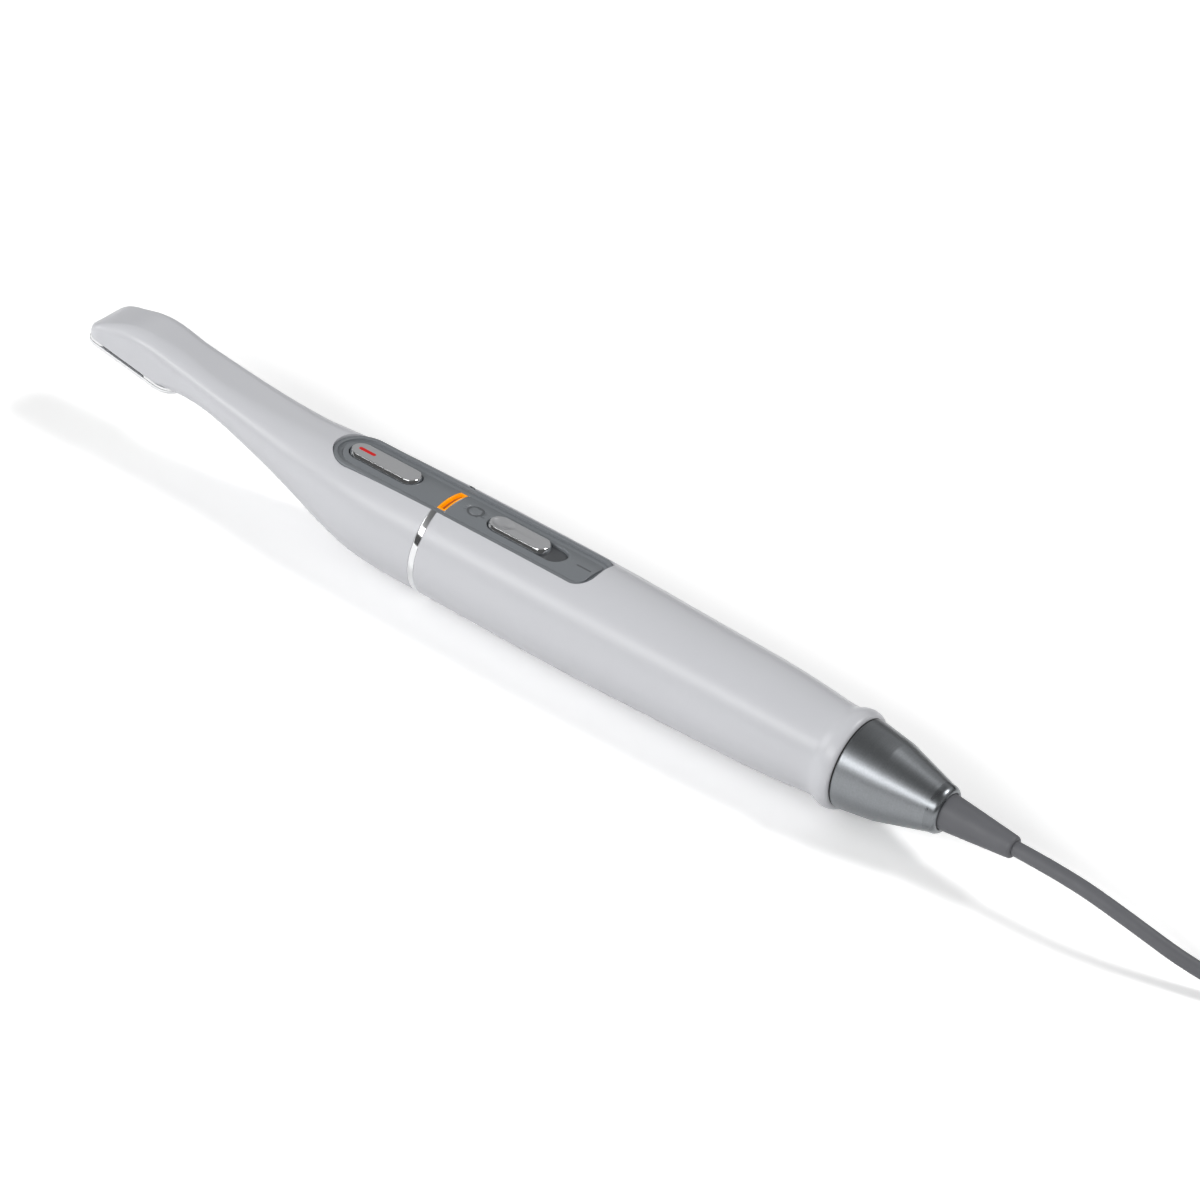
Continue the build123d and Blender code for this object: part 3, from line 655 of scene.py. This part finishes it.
class CAMERAPART_OT_front_housing(bpy.types.Operator):
    """Head, neck and shoulder moulding, with the flat under the head and the pocket for the deck"""
    bl_idname = "camera_part.front_housing"
    bl_label = "Front housing"

    def execute(self, context):
        s, deck = in_mm(context.scene.camera_housing), in_mm(context.scene.camera_deck)
        rows = spline_through(front_rows(s), 0.75)
        outer = [housing_ring(row, 0) for row in rows[:-1]]
        end = rows[-1]
        outer.append(housing_ring((end[0] - 0.08, *end[1:]), 0))
        outer.append(housing_ring(end, 0.08))
        inner = [housing_ring(row, s.wall) for row in reversed(rows) if row[0] > 4.4]
        obj = solid("front_housing_skin", [skin(outer + inner)], [finish_of("housing")])
        seat_profile = [(0, -12, 0), (0, 0, 0)]
        seat = plate(on_head, lambda inset: rounded(60, 40, [1] * 4), seat_profile, centre=(-18.6, 0))
        window_profile = [(0, -1, 0), (0, s.wall + 0.6, 0)]
        window = plate(on_head, lambda inset: rounded(16.0, 9.4, [1.9] * 4), window_profile, centre=(0.5, 0))
        carve(obj, [solid("seat", [seat], []), solid("window", [window], []), deck_cutter(deck)])
        keep(obj, "handpiece", "housing", "front_housing")
        return {"FINISHED"}


def barrel_profile(s):
    """Outer line of the rear housing: a slow barrel, the flare and the rolled bead."""
    body, belly = s.body_radius, s.belly_radius
    barrel = [
        (86.18, body + 0.02), (98, body + 0.12), (114, belly), (128, belly - 0.14),
        (140, belly - 0.45), (152, belly - 0.72), (164, belly - 1.12), (171, 9.86), (174.5, 9.53),
    ]
    bead = [
        (176.4, 9.42), (177.6, 9.50), (178.5, 9.80), (179.4, 10.12), (180.4, 10.25),
        (181.3, 10.12), (181.9, 9.8), (182.1, 9.45),
    ]
    return spline_through(barrel + bead, 1.2)


class CAMERAPART_OT_rear_housing(bpy.types.Operator):
    """Rear grip, bored for the chassis, with the flare and the bead at its end"""
    bl_idname = "camera_part.rear_housing"
    bl_label = "Rear housing"

    def execute(self, context):
        s, deck = in_mm(context.scene.camera_housing), in_mm(context.scene.camera_deck)
        outer = [tuple(p) for p in barrel_profile(s)]
        profile = [(86.1, s.body_radius - 0.06)] + outer
        profile += [(182.1, 8.35), (152, 8.35), (152, 9.45), (91.8, 9.45), (91.8, 9.78), (86.1, 9.78)]
        obj = turned("rear_housing_skin", profile, [finish_of("housing")])
        carve(obj, [deck_cutter(deck)])
        keep(obj, "handpiece", "housing", "rear_housing")
        return {"FINISHED"}


class CAMERAPART_OT_joint_ring(bpy.types.Operator):
    """Polished ring between the two housings, open where the deck crosses it"""
    bl_idname = "camera_part.joint_ring"
    bl_label = "Joint ring"

    def execute(self, context):
        s, deck = in_mm(context.scene.camera_housing), in_mm(context.scene.camera_deck)
        top, half = s.body_radius + 0.03, s.ring_width / 2 - 0.02
        front, rear, shoulder = RING_MIDDLE - half, RING_MIDDLE + half, top - 0.14
        rounding = ((0.03, 0.07), (0.1, 0.12), (0.2, 0.14))
        profile = [(front, 9.8), (front, shoulder)] + [(front + d, shoulder + h) for d, h in rounding]
        profile += [(RING_MIDDLE, top + 0.02)] + [(rear - d, shoulder + h) for d, h in reversed(rounding)]
        profile += [(rear, shoulder), (rear, 9.8)]
        obj = turned("joint_ring_band", profile, [finish_of("chrome")])
        carve(obj, [deck_cutter(deck)])
        keep(obj, "handpiece", "trim_chrome", "joint_ring")
        return {"FINISHED"}


def crown(x, y):
    """Height of the panel's crowned floor."""
    return CROWN_RISE - (CROWN_RADIUS - math.sqrt(CROWN_RADIUS * CROWN_RADIUS - y * y))


def hole_cutter(outline, centre, depth, edge=0.12):
    """Closed cutter for an opening in the crowned floor, with a rounded upper edge."""
    profile = [(0, -depth, 0), (0, -edge, 1), (-edge * 0.12, -edge * 0.5, 1), (-edge * 0.5, -edge * 0.12, 1)]
    profile += [(-edge, 0, 1), (-edge - 0.1, 0.1, 1), (-edge - 0.1, 3, 0)]
    return solid("hole", [plate(on_deck, outline, profile, centre, crown)], [])


class CAMERAPART_OT_button_panel(bpy.types.Operator):
    """Button panel: raised rim, groove, crowned floor, openings and engraved marks"""
    bl_idname = "camera_part.button_panel"
    bl_label = "Button panel"

    def execute(self, context):
        deck = in_mm(context.scene.camera_deck)
        line, mark = deck_outline(deck), deck.mark_line
        slab = self.floor(line, deck)
        width = deck.button_width + BUTTON_CLEARANCE
        press_length = deck.capture_length + BUTTON_CLEARANCE
        track_length = deck.slider_length + SLIDER_TRAVEL
        slot_profile = [(0, -1.7, 0), (0, 0, 0)]
        slot = plate(on_deck, lambda i: rounded(7.0, 1.84, [0.3] * 4), slot_profile, TRACK_AT)
        carve(slab, [
            hole_cutter(lambda i: stadium(press_length, width, i, side=20), CAPTURE_AT, 1.7),
            hole_cutter(
                lambda i: stadium(track_length + BUTTON_CLEARANCE, width, i, side=20), TRACK_AT, 0.8, 0.22
            ),
            hole_cutter(
                lambda i: rounded(1.95 - 2 * i, 7.85 - 2 * i, [0.12 - i] * 4, side=10), (0, 0), 1.7, 0.06
            ),
            solid("slot", [slot], []),
            hole_cutter(
                lambda i: rounded(3.4 - 2 * i, mark - 2 * i, [mark / 2 - i] * 4, arc=6), BAR_AT, 0.35, 0.03
            ),
            solid("circle", [self.circle(mark, 0.3, -0.35)], []),
        ])
        obj = gathered("button_panel_skin", [slab, self.rim(line, deck)], [finish_of("deck")])
        shade_by_area(obj)
        keep(obj, "handpiece", "deck_grey", "button_panel")
        paint = [(0, -0.6, 0), (0, -0.03, 1)]
        bar = plate(on_deck, lambda i: stadium(3.38, mark - 0.02, i), paint, BAR_AT, crown)
        ring = self.circle(mark - 0.02, -0.03, -0.6)
        keep(solid("deck_marks", [bar, ring], [finish_of("groove_paint")]), "handpiece", "deck_grey")
        # A thin dark sheet under the slider forms the track's floor: painted shade for the deep hollow there.
        bed = [(0, -0.85, 0), (0, -0.77, 0)]
        track_shade_sheet = plate(on_deck, lambda i: stadium(track_length, deck.button_width, i, side=20), bed, TRACK_AT)
        keep(solid("slider_track_shade_sheet", [track_shade_sheet], [finish_of("track")]), "handpiece", "deck_grey")
        return {"FINISHED"}

    def floor(self, line, deck):
        """The crowned floor inside the groove."""
        edge = deck.rim + deck.groove
        rows = [(edge, -1.5, 0), (edge, -0.18, 1)]
        rows += [(edge + i, h, 1) for i, h in round_over(0.18)]
        rows += [(edge + d, 0, 1) for d in (0.3, 0.8, 1.4, 2.0, 2.6, 3.2, 3.8, 4.1)]
        return solid("floor", [plate(on_deck, line, rows, DECK_MIDDLE, crown)], [finish_of("deck")])

    def rim(self, line, deck):
        """The flat rim, rounded on both edges, with the groove's bed inside it."""
        rim, bed, inner = deck.rim, -deck.groove_depth, deck.rim + deck.groove + 0.4
        rows = [(0, -1.5, 0)] + [(i, h, 0) for i, h in round_over(0.14)]
        rows += [(rim - i, h, 0) for i, h in reversed(round_over(0.14))]
        rows += [(rim, bed + 0.1, 0), (rim + 0.03, bed + 0.03, 0), (rim + 0.1, bed, 0)]
        rows += [(inner, bed, 0), (inner, -1.5, 0)]
        return solid("rim", [plate(on_deck, line, rows, DECK_MIDDLE, closed=True)], [finish_of("deck")])

    def circle(self, line, top, bottom):
        """The ring-shaped mark between the status light and the slider."""
        rings = []
        rows = ((1.8, bottom, 0), (1.8, top, 1), (1.8 - line, top, 1), (1.8 - line, bottom, 0))
        for radius, height, follow in rows:
            ring = []
            for k in range(64):
                turn = 2 * math.pi * k / 64
                x, y = CIRCLE_AT + radius * math.cos(turn), radius * math.sin(turn)
                ring.append(on_deck(x, y, height + follow * crown(x, y)))
            rings.append(ring)
        return skin(rings, closed=True)


def button_skin(length, width, top, centre, swell, floor=-1.9):
    """A button with a bright wall that leans in a little and a satin top; marks tell the two apart."""
    rows = [(0.0, floor, 0), (0.0, -0.4, 0), (0.03, -0.3, 0)]
    rows += [(0.30, top - 0.1, 0), (0.34, top - 0.03, 0), (0.40, top, 0)]
    marks = [0] * len(rows)
    inset = 0.44
    while inset < width / 2 - 0.02:
        rows.append((inset, top, 1))
        marks.append(1)
        inset += 0.1
    return plate(
        on_deck, lambda i: stadium(length, width, i, arc=16, side=60), rows, centre, swell, marks=marks
    )


class CAMERAPART_OT_capture_button(bpy.types.Operator):
    """Press button with its red inlay"""
    bl_idname = "camera_part.capture_button"
    bl_label = "Capture button"

    def execute(self, context):
        deck = in_mm(context.scene.camera_deck)
        middle = (CAPTURE_AT[0] - deck.capture_length * 0.28, 0)

        def swell(x, y):
            return 0.05 * (1 - (y / 2.6) ** 2)

        skin_part = button_skin(deck.capture_length, deck.button_width, 0.6, CAPTURE_AT, swell)
        obj = solid("capture_button_cap", [skin_part], [finish_of("chrome"), finish_of("button")])
        keep(obj, "capture_button", "button_grey", "capture_button")
        rows = [(0, 0.45, 0), (0, 0.605, 1), (0.02, 0.618, 1), (0.06, 0.625, 1)]
        bar = plate(on_deck, lambda i: stadium(3.9, 0.9, i, side=8), rows, middle, swell)
        inlaid = solid("capture_mark_bar", [bar], [finish_of("red")])
        keep(inlaid, "capture_button", "mark_red", "capture_mark")
        return {"FINISHED"}


class CAMERAPART_OT_power_slider(bpy.types.Operator):
    """Slide button with its thumb dish"""
    bl_idname = "camera_part.power_slider"
    bl_label = "Power slider"

    def execute(self, context):
        deck = in_mm(context.scene.camera_deck)
        dish_middle = SLIDER_AT[0] - deck.slider_length / 2 + 3.1

        def dish(x, y):
            far = min(1.0, ((x - dish_middle) / 2.4) ** 2 + (y / 1.85) ** 2)
            return 0.04 * (1 - (y / 2.6) ** 2) - 0.55 * (1 - far)

        part = button_skin(deck.slider_length, deck.button_width, 0.5, SLIDER_AT, dish, floor=-0.72)
        obj = solid("power_slider_cap", [part], [finish_of("chrome"), finish_of("button")])
        keep(obj, "power_slider", "button_grey", "power_slider")
        return {"FINISHED"}


class CAMERAPART_OT_status_light(bpy.types.Operator):
    """Amber light pipe across the deck"""
    bl_idname = "camera_part.status_light"
    bl_label = "Status light"

    def execute(self, context):
        # The faces of the last rows, the trough's bottom, take the darker amber: painted shade in the recess.
        rows = [(0, -1.5, 0), (0, -0.08, 1), (0.05, -0.03, 1), (0.4, -0.03, 1)]
        rows += [(0.44, -0.08, 1), (0.56, -0.7, 1), (0.8, -0.78, 1)]
        part = plate(
            on_deck, lambda i: rounded(1.9 - 2 * i, 7.8 - 2 * i, [0.1] * 4, side=14), rows, (0, 0), crown,
            marks=[0] * 5 + [1] * 2,
        )
        pipe = solid("status_light_pipe", [part], [finish_of("amber"), finish_of("amber_floor_shade")])
        keep(pipe, "handpiece", "lamp_amber", "status_light")
        rows = [(0, -0.4, 0), (0, -0.03, 1), (0.05, 0.02, 1), (0.1, 0.02, 1)]
        edge = plate(
            on_deck, lambda i: rounded(0.26 - 2 * i, 8.1 - 2 * i, [0.04] * 4, arc=3, side=14), rows,
            (1.0, 0), crown,
        )
        keep(solid("status_light_edge", [edge], [finish_of("chrome")]), "handpiece", "trim_chrome")
        return {"FINISHED"}


def plate_line(inset):
    """Outline of the window plate."""
    return ended(22.1, 12.5, 2.6, 4.2, inset, arc=14, side=24)


def window_line(grow):
    """Outline of the window glass, placed on the plate."""
    outline = rounded(15.3 + 2 * grow, 8.7 + 2 * grow, [1.6 + grow] * 4, arc=14, side=24)
    return [(x + 0.5, y) for x, y in outline]


class CAMERAPART_OT_window(bpy.types.Operator):
    """Bright window plate under the head, and its glass"""
    bl_idname = "camera_part.window"
    bl_label = "Window"

    def execute(self, context):
        rows = [(0.12, 0.0), (0.12, -0.42), (0.08, -0.5), (0.02, -0.52), (0.0, -0.58)]
        rows += [(0.0, -1.0), (0.04, -1.14), (0.13, -1.24), (0.28, -1.3)]
        rings = []
        for inset, height in rows:
            ring = []
            for x, y in plate_line(inset):
                slot = 0.30 if height >= -0.42 and -7.1 < x < 4.1 and abs(y) > 5 else 0.0
                ring.append(on_head(x, y - math.copysign(slot, y), height))
            rings.append(ring)
        for grow, height in ((-0.38, -1.3), (-0.45, -1.23), (-0.45, -0.85), (0.05, -0.85), (0.05, 0.0)):
            rings.append([on_head(x, y, height) for x, y in window_line(grow)])
        obj = solid("window_plate", [skin(rings, closed=True)], [finish_of("chrome")])
        keep(obj, "handpiece", "trim_chrome", "window_bezel")
        levels = ((-0.08, -0.85), (0, -0.8), (0, -0.1), (-0.08, -0.05))
        glass = [[on_head(x, y, height) for x, y in window_line(grow)] for grow, height in levels]
        pane = solid("window_pane", [skin(glass)], [finish_of("glass")])
        keep(pane, "handpiece", "window_glass", "window_glass")
        return {"FINISHED"}


class CAMERAPART_OT_end_cap(bpy.types.Operator):
    """Turned end cap with its polished end, and the strain relief"""
    bl_idname = "camera_part.end_cap"
    bl_label = "End cap"

    def execute(self, context):
        profile = [(182.4, 7.8), (182.4, 9.12), (182.45, 9.2), (182.58, 9.26), (182.75, 9.25)]
        profile += [(190.1, 8.19), (190.3, 8.14), (190.5, 8.09), (200.6, 5.2)]
        split = len(profile)
        for k in range(1, 13):
            turn = math.pi / 2 * k / 12
            profile.append((201.2 + 1.7 * math.sin(turn), 3.95 + 1.1 * math.cos(turn)))
        profile += [(202.8, 3.77), (199.5, 3.77), (199.5, 4.4), (197.5, 4.4), (188.5, 6.8), (187.5, 7.8)]
        marks = [0] * (split - 1) + [1] * (len(profile) - split + 1)
        obj = turned("end_cap_shell", profile, [finish_of("cap"), finish_of("cap_edge")], marks)
        keep(obj, "handpiece", "cap_metal", "end_cap")
        relief_line = [(198.1, 1.5), (198.1, 4.3), (199.5, 4.3), (199.5, 3.7), (203, 3.7), (205, 3.52)]
        relief_line += [(217.2, 2.32), (217.6, 2.24), (217.85, 2.08), (217.98, 1.85), (218.0, 1.5)]
        sleeve = turned("strain_relief_sleeve", relief_line, [finish_of("jacket")], around=96)
        keep(sleeve, "handpiece", "cord_rubber", "strain_relief")
        return {"FINISHED"}


CORD_ROUTE = [(0, 0, 0), (12, 0, 0), (25, 0.6, -2.4), (39, 3.2, -7.1), (53, 7.2, -9.75), (67, 10, -9.95)]


def hank_points(cord):
    """The cord's line round the hank, in millimetres of the frame: three turns in each of four layers."""
    run = cord.hank_run
    middle = HANK_START + run / 2 + FOLD_RADIUS
    widths = (15.0, 11.95, 8.9)
    waists = (7.6, 4.6, 1.6)
    order = [0, 1, 2, 2, 1, 0, 0, 1, 2, 2, 1, 0]
    points = [(middle - run / 2 - 7, 14.2, FIRST_LAYER)]

    def fold(side, start, end, low, high):
        """Half a turn at one end, from one half-width and layer to the next."""
        made = []
        for k in range(7):
            share = k / 6
            radius = (start + (end - start) * share) / 0.985
            turn = side * math.pi / 2 - math.pi * share
            ease = share * share * (3 - 2 * share)
            x = middle + side * run / 2 + radius * math.cos(turn) * 0.97
            made.append((x, radius * math.sin(turn), low + (high - low) * ease))
        return made

    def straight(sign, width, waist, height):
        """A run through the tie, drawn in at the waist, towards +x on the near side of +y."""
        wide = (width + waist) / 2 + 1.2
        line = ((-12, wide), (-5.5, waist), (5.5, waist), (12, wide))
        return [(middle + sign * x, sign * y, height) for x, y in line]

    for turn, lane in enumerate(order):
        height = FIRST_LAYER + turn // 3 * LAYER_RISE
        points += straight(1, widths[lane], waists[lane], height)
        points += fold(1, widths[lane], widths[lane], height, height)
        points += straight(-1, widths[lane], waists[lane], height)
        if turn + 1 < len(order):
            next_height = FIRST_LAYER + (turn + 1) // 3 * LAYER_RISE
            points += fold(-1, widths[lane], widths[order[turn + 1]], height, next_height)
    tail = (
        (-2, -14.4, -1.6), (-9, -12.0, -0.6), (-12.5, -5.5, 0.9), (-12, 1.5, 1.6),
        (-7, 6.8, 1.6), (0, 7.0, 1.7), (6, 3.6, 2.2), (12, 0.6, 3.4),
    )
    points += [(middle - run / 2 + x, y, HANK_TOP + z) for x, y, z in tail]
    points += [(middle - 4, 0, HANK_TOP + TAIL_RISE), (middle + 7, 0, HANK_TOP + TAIL_RISE)]
    return points


def line_length(data):
    """Length of a curve's line as it is drawn."""
    bare = data.copy()
    bare.bevel_depth = 0
    probe = bpy.data.objects.new("probe", bare)
    bpy.context.scene.collection.objects.link(probe)
    bpy.context.view_layer.update()
    shown = probe.evaluated_get(bpy.context.evaluated_depsgraph_get())
    mesh = bpy.data.meshes.new_from_object(shown)
    ends = [[mesh.vertices[i].co for i in edge.vertices] for edge in mesh.edges]
    length = sum((a - b).length for a, b in ends)
    bpy.data.objects.remove(probe)
    bpy.data.curves.remove(bare)
    bpy.data.meshes.remove(mesh)
    return length


class CAMERAPART_OT_cord(bpy.types.Operator):
    """The cord as one line, from the strain relief through the tied hank to the plug"""
    bl_idname = "camera_part.cord"
    bl_label = "Cord"

    def execute(self, context):
        cord = in_mm(context.scene.camera_cord)
        leave = place((218, 0, 0)) / MM
        route = [(leave.x + x, leave.y + y, leave.z + z) for x, y, z in CORD_ROUTE] + hank_points(cord)
        data = bpy.data.curves.new("cord", "CURVE")
        data.dimensions = "3D"
        line = data.splines.new("NURBS")
        line.points.add(len(route) - 1)
        for point, (x, y, z) in zip(line.points, route):
            point.co = (x * MM, y * MM, z * MM, 1)
        line.order_u = 3
        line.use_endpoint_u = True
        data.resolution_u = 6
        data.bevel_depth = cord.diameter / 2 * MM
        data.bevel_resolution = 5
        data.use_fill_caps = True
        data.materials.append(finish_of("jacket"))
        obj = bpy.data.objects.new("cord", data)
        context.scene.collection.objects.link(obj)
        keep(obj, "handpiece", "cord_rubber", "cord_run", "cord_hank")
        line_length(data)
        return {"FINISHED"}


def ring_across(x, width, height, corner, middle_z, arc=8, side=4):
    """A rounded section across x, in frame millimetres."""
    outline = rounded(width, height, [corner] * 4, arc=arc, side=side)
    return [Vector((x, y, z + middle_z)) * MM for y, z in outline]


class CAMERAPART_OT_plug(bpy.types.Operator):
    """Plug with its boot, ribbed grip and folded shell, and the strap round the hank"""
    bl_idname = "camera_part.plug"
    bl_label = "Plug and strap"

    def execute(self, context):
        cord = in_mm(context.scene.camera_cord)
        middle = HANK_START + cord.hank_run / 2 + FOLD_RADIUS
        start, height = middle + 7, HANK_TOP + TAIL_RISE
        sections = [(start, 4.4, 4.4, 2.2), (start + 0.3, 4.8, 4.8, 2.4)]
        for k in range(5):
            x = start + 0.9 + 1.45 * k
            across = 4.9 + 0.5 * k
            for along, wider, less in ((0, 0, 0), (0.8, 0.2, 0), (0.85, -0.35, 0.2), (1.3, -0.3, 0.2)):
                sections.append((x + along, across + wider, across + wider, across / 2 - less))
        sections += [(start + 8.0, 7.2, 7.2, 3.6), (start + 8.05, 12.6, 6.6, 2.4)]
        sections += [(start + 8.3, 14.2, 7.4, 2.4), (start + 8.9, 15, 8, 2.2), (start + 30.2, 15, 8, 2.2)]
        sections += [(start + 30.7, 14.6, 7.7, 2.1), (start + 31, 13.8, 7.2, 2)]
        rings = [ring_across(*section, height) for section in sections]
        grip = solid("plug_grip", [skin(rings)], [finish_of("jacket")])
        keep(grip, "handpiece", "cord_rubber", "plug_overmould")
        self.shell(start + 31, height)
        self.strap(middle)
        return {"FINISHED"}

    def shell(self, start, height):
        """Folded sheet shell, open in front, with its latch windows."""
        rows = [(0, 12, 4.5, 0.45), (11.8, 12, 4.5, 0.45), (12, 11.85, 4.35, 0.45)]
        rows += [(12, 11.4, 3.9, 0.2), (11.9, 11.3, 3.8, 0.2), (0.4, 11.3, 3.8, 0.2)]
        rings = [ring_across(start + x, width, tall, corner, height, 5, 6) for x, width, tall, corner in rows]
        obj = solid("plug_shell_skin", [skin(rings)], [finish_of("nickel")])
        windows = []
        for side in (-1, 1):
            box = rounded(2.4, 2.2, [0.1] * 4, arc=2, side=2)
            ends = [[(start + 7.5 + x, side * 2.6 + y, height + z) for x, y in box] for z in (-4, 4)]
            rings = [[Vector(point) * MM for point in end] for end in ends]
            windows.append(solid("latch", [skin(rings)], []))
        carve(obj, windows)
        keep(obj, "handpiece", "plug_nickel", "plug_shell")

    def strap(self, middle):
        """Woven strap round the waist of the hank."""
        top = HANK_TOP + TAIL_RISE + 1.55
        rows = ((-4, 0.1), (-4, 0.9), (-3.85, 1.0), (3.85, 1.0), (4, 0.9), (4, 0.1), (3.9, 0.0), (-3.9, 0.0))
        rings = [
            ring_across(middle + x, 18.5 + 2 * grow, top - 1 + 2 * grow, 1.2 + grow, (top + 1) / 2, 8, 8)
            for x, grow in rows
        ]
        obj = solid("tie_strap", [skin(rings, closed=True)], [finish_of("strap")])
        keep(obj, "handpiece", "tie_fabric", "cord_tie")


NODES_BY_FINISH = {
    "rubber": ("panel_gasket", "cap_seal"),
    "board": ("led_board", "sensor_board", "main_board"),
    "lamp": ("leds", "status_led"),
    "black": (
        "lens_barrel", "optics_carrier", "board_chips", "tact_switch", "slide_switch", "switch_plunger",
        "slider_lever", "plug_tongue",
    ),
    "glass": ("image_sensor", "lens_glass"),
    "film": ("sensor_flex",),
    "grey_nylon": ("chassis", "cord_clamp"),
    "natural": ("wire_connector",),
    "steel": ("board_screws",),
    "brass": ("threaded_collar",),
    "jacket": ("inner_lead",),
}


class CAMERAPART_OT_inner_parts(bpy.types.Operator):
    """Finishes for the solids that stay as they are"""
    bl_idname = "camera_part.inner_parts"
    bl_label = "Inner parts"

    def execute(self, context):
        for finish, nodes in NODES_BY_FINISH.items():
            for node in nodes:
                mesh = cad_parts[node].data
                mesh.materials.clear()
                mesh.materials.append(finish_of(finish))
        return {"FINISHED"}


class CAMERAPART_OT_viewpoint(bpy.types.Operator):
    """The camera, with a long lens from the rear right, above the handpiece"""
    bl_idname = "camera_part.viewpoint"
    bl_label = "Viewpoint"

    def execute(self, context):
        data = bpy.data.cameras.new("view")
        data.lens, data.sensor_width = 250, 36
        data.clip_start, data.clip_end = 0.05, 30
        view = bpy.data.objects.new("view", data)
        context.scene.collection.objects.link(view)
        right = Vector((0.79830, 0.58130, 0.15750))
        up = Vector((-0.43164, 0.36985, 0.82274))
        back = Vector((0.42, -0.72478, 0.54616))
        turn = Matrix((right, up, back)).transposed().to_4x4()
        view.matrix_world = Matrix.Translation(place((782.022, -1140.308, 864.112))) @ turn
        context.scene.camera = view
        return {"FINISHED"}


def softbox(name, where, size, power):
    """A rectangular lamp that faces the handpiece's middle."""
    data = bpy.data.lights.new(name, "AREA")
    data.shape, data.size, data.size_y = "RECTANGLE", size[0], size[1]
    data.energy = power
    obj = bpy.data.objects.new(name, data)
    bpy.context.scene.collection.objects.link(obj)
    obj.location = where
    obj.rotation_mode = "QUATERNION"
    obj.rotation_quaternion = (Vector((0, 0, 0.01)) - Vector(where)).to_track_quat("-Z", "Y")


class CAMERAPART_OT_stage(bpy.types.Operator):
    """White floor, plain light all round and three soft lamps"""
    bl_idname = "camera_part.stage"
    bl_label = "Stage"

    def execute(self, context):
        scene = context.scene
        scene.view_settings.view_transform = "Standard"
        mesh = bpy.data.meshes.new("floor")
        mesh.from_pydata([(-4, -4, 0), (4, -4, 0), (4, 4, 0), (-4, 4, 0)], [], [(0, 1, 2, 3)])
        floor = bpy.data.objects.new("floor", mesh)
        scene.collection.objects.link(floor)
        material, tree, shader, _ = start("white_sweep")
        rays = add(tree, "ShaderNodeLightPath").outputs
        mirrored = add(tree, "ShaderNodeMath", {0: rays["Is Glossy Ray"], 1: rays["Is Transmission Ray"]})
        seen = add(tree, "ShaderNodeMath", {0: rays["Is Camera Ray"], 1: mirrored.outputs[0]})
        tone = spread(tree, seen.outputs[0], 0.8, 1.35)
        set_inputs(shader, Base_Color=tone, Roughness=0.8, Specular_IOR_Level=0.0)
        mesh.materials.append(material)
        world = bpy.data.worlds.new("studio")
        scene.world = world
        world.use_nodes = True
        tree = world.node_tree
        tree.nodes.clear()
        direction = add(tree, "ShaderNodeTexCoord").outputs["Generated"]
        height = add(tree, "ShaderNodeSeparateXYZ", {0: direction}).outputs[2]
        sky = add(tree, "ShaderNodeValToRGB", {0: height})
        stops = sky.color_ramp.elements
        levels = ((0.0, 0.5), (0.03, 0.1), (0.33, 0.1), (0.42, 0.7), (0.6, 0.4), (0.8, 0.22), (1.0, 0.18))
        for place_at, level in levels:
            stop = stops[0] if place_at == 0 else stops[-1] if place_at == 1 else stops.new(place_at)
            stop.color = (level, level, level, 1)
        light = add(tree, "ShaderNodeBackground", {"Color": sky.outputs[0], "Strength": 1.0})
        add(tree, "ShaderNodeOutputWorld", {"Surface": light.outputs[0]})
        softbox("near_side", (-0.1, -1.0, 0.55), (1.5, 0.3), 9.0)
        softbox("over_back", (0.45, 0.5, 0.95), (0.35, 0.3), 5.0)
        softbox("front_end", (-1.0, -0.35, 0.4), (0.4, 0.4), 2.5)
        return {"FINISHED"}


class CAMERAPART_PT_sidebar(bpy.types.Panel):
    """Lists what the part is made of"""
    bl_idname = "CAMERAPART_PT_sidebar"
    bl_label = "Intraoral camera"
    bl_space_type = "VIEW_3D"
    bl_region_type = "UI"
    bl_category = "Camera part"

    def draw(self, context):
        for group in GROUPS:
            box = self.layout.box()
            box.label(text=group.removeprefix("camera_").capitalize())
            settings = getattr(context.scene, group)
            for prop in settings.bl_rna.properties:
                if prop.identifier not in ("rna_type", "name"):
                    box.prop(settings, prop.identifier)
        for operator in OPERATORS:
            self.layout.operator(operator.bl_idname)


GROUPS = {
    "camera_housing": HousingSizes,
    "camera_deck": DeckSizes,
    "camera_cord": CordSizes,
    "camera_colours": Colours,
}
OPERATORS = (
    CAMERAPART_OT_viewpoint, CAMERAPART_OT_plug, CAMERAPART_OT_cord, CAMERAPART_OT_front_housing,
    CAMERAPART_OT_rear_housing, CAMERAPART_OT_joint_ring, CAMERAPART_OT_button_panel,
    CAMERAPART_OT_capture_button, CAMERAPART_OT_power_slider, CAMERAPART_OT_status_light,
    CAMERAPART_OT_window, CAMERAPART_OT_end_cap, CAMERAPART_OT_inner_parts, CAMERAPART_OT_stage,
)


def register():
    for name, group in GROUPS.items():
        bpy.utils.register_class(group)
        setattr(bpy.types.Scene, name, PointerProperty(type=group))
    for item in (*OPERATORS, CAMERAPART_PT_sidebar):
        bpy.utils.register_class(item)


def unregister():
    for item in (CAMERAPART_PT_sidebar, *reversed(OPERATORS)):
        bpy.utils.unregister_class(item)
    for name, group in GROUPS.items():
        delattr(bpy.types.Scene, name)
        bpy.utils.unregister_class(group)


def main():
    register()
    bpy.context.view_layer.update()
    for operator in OPERATORS:
        group, name = operator.bl_idname.split(".")
        getattr(getattr(bpy.ops, group), name)()


if __name__ == "__main__":
    main()
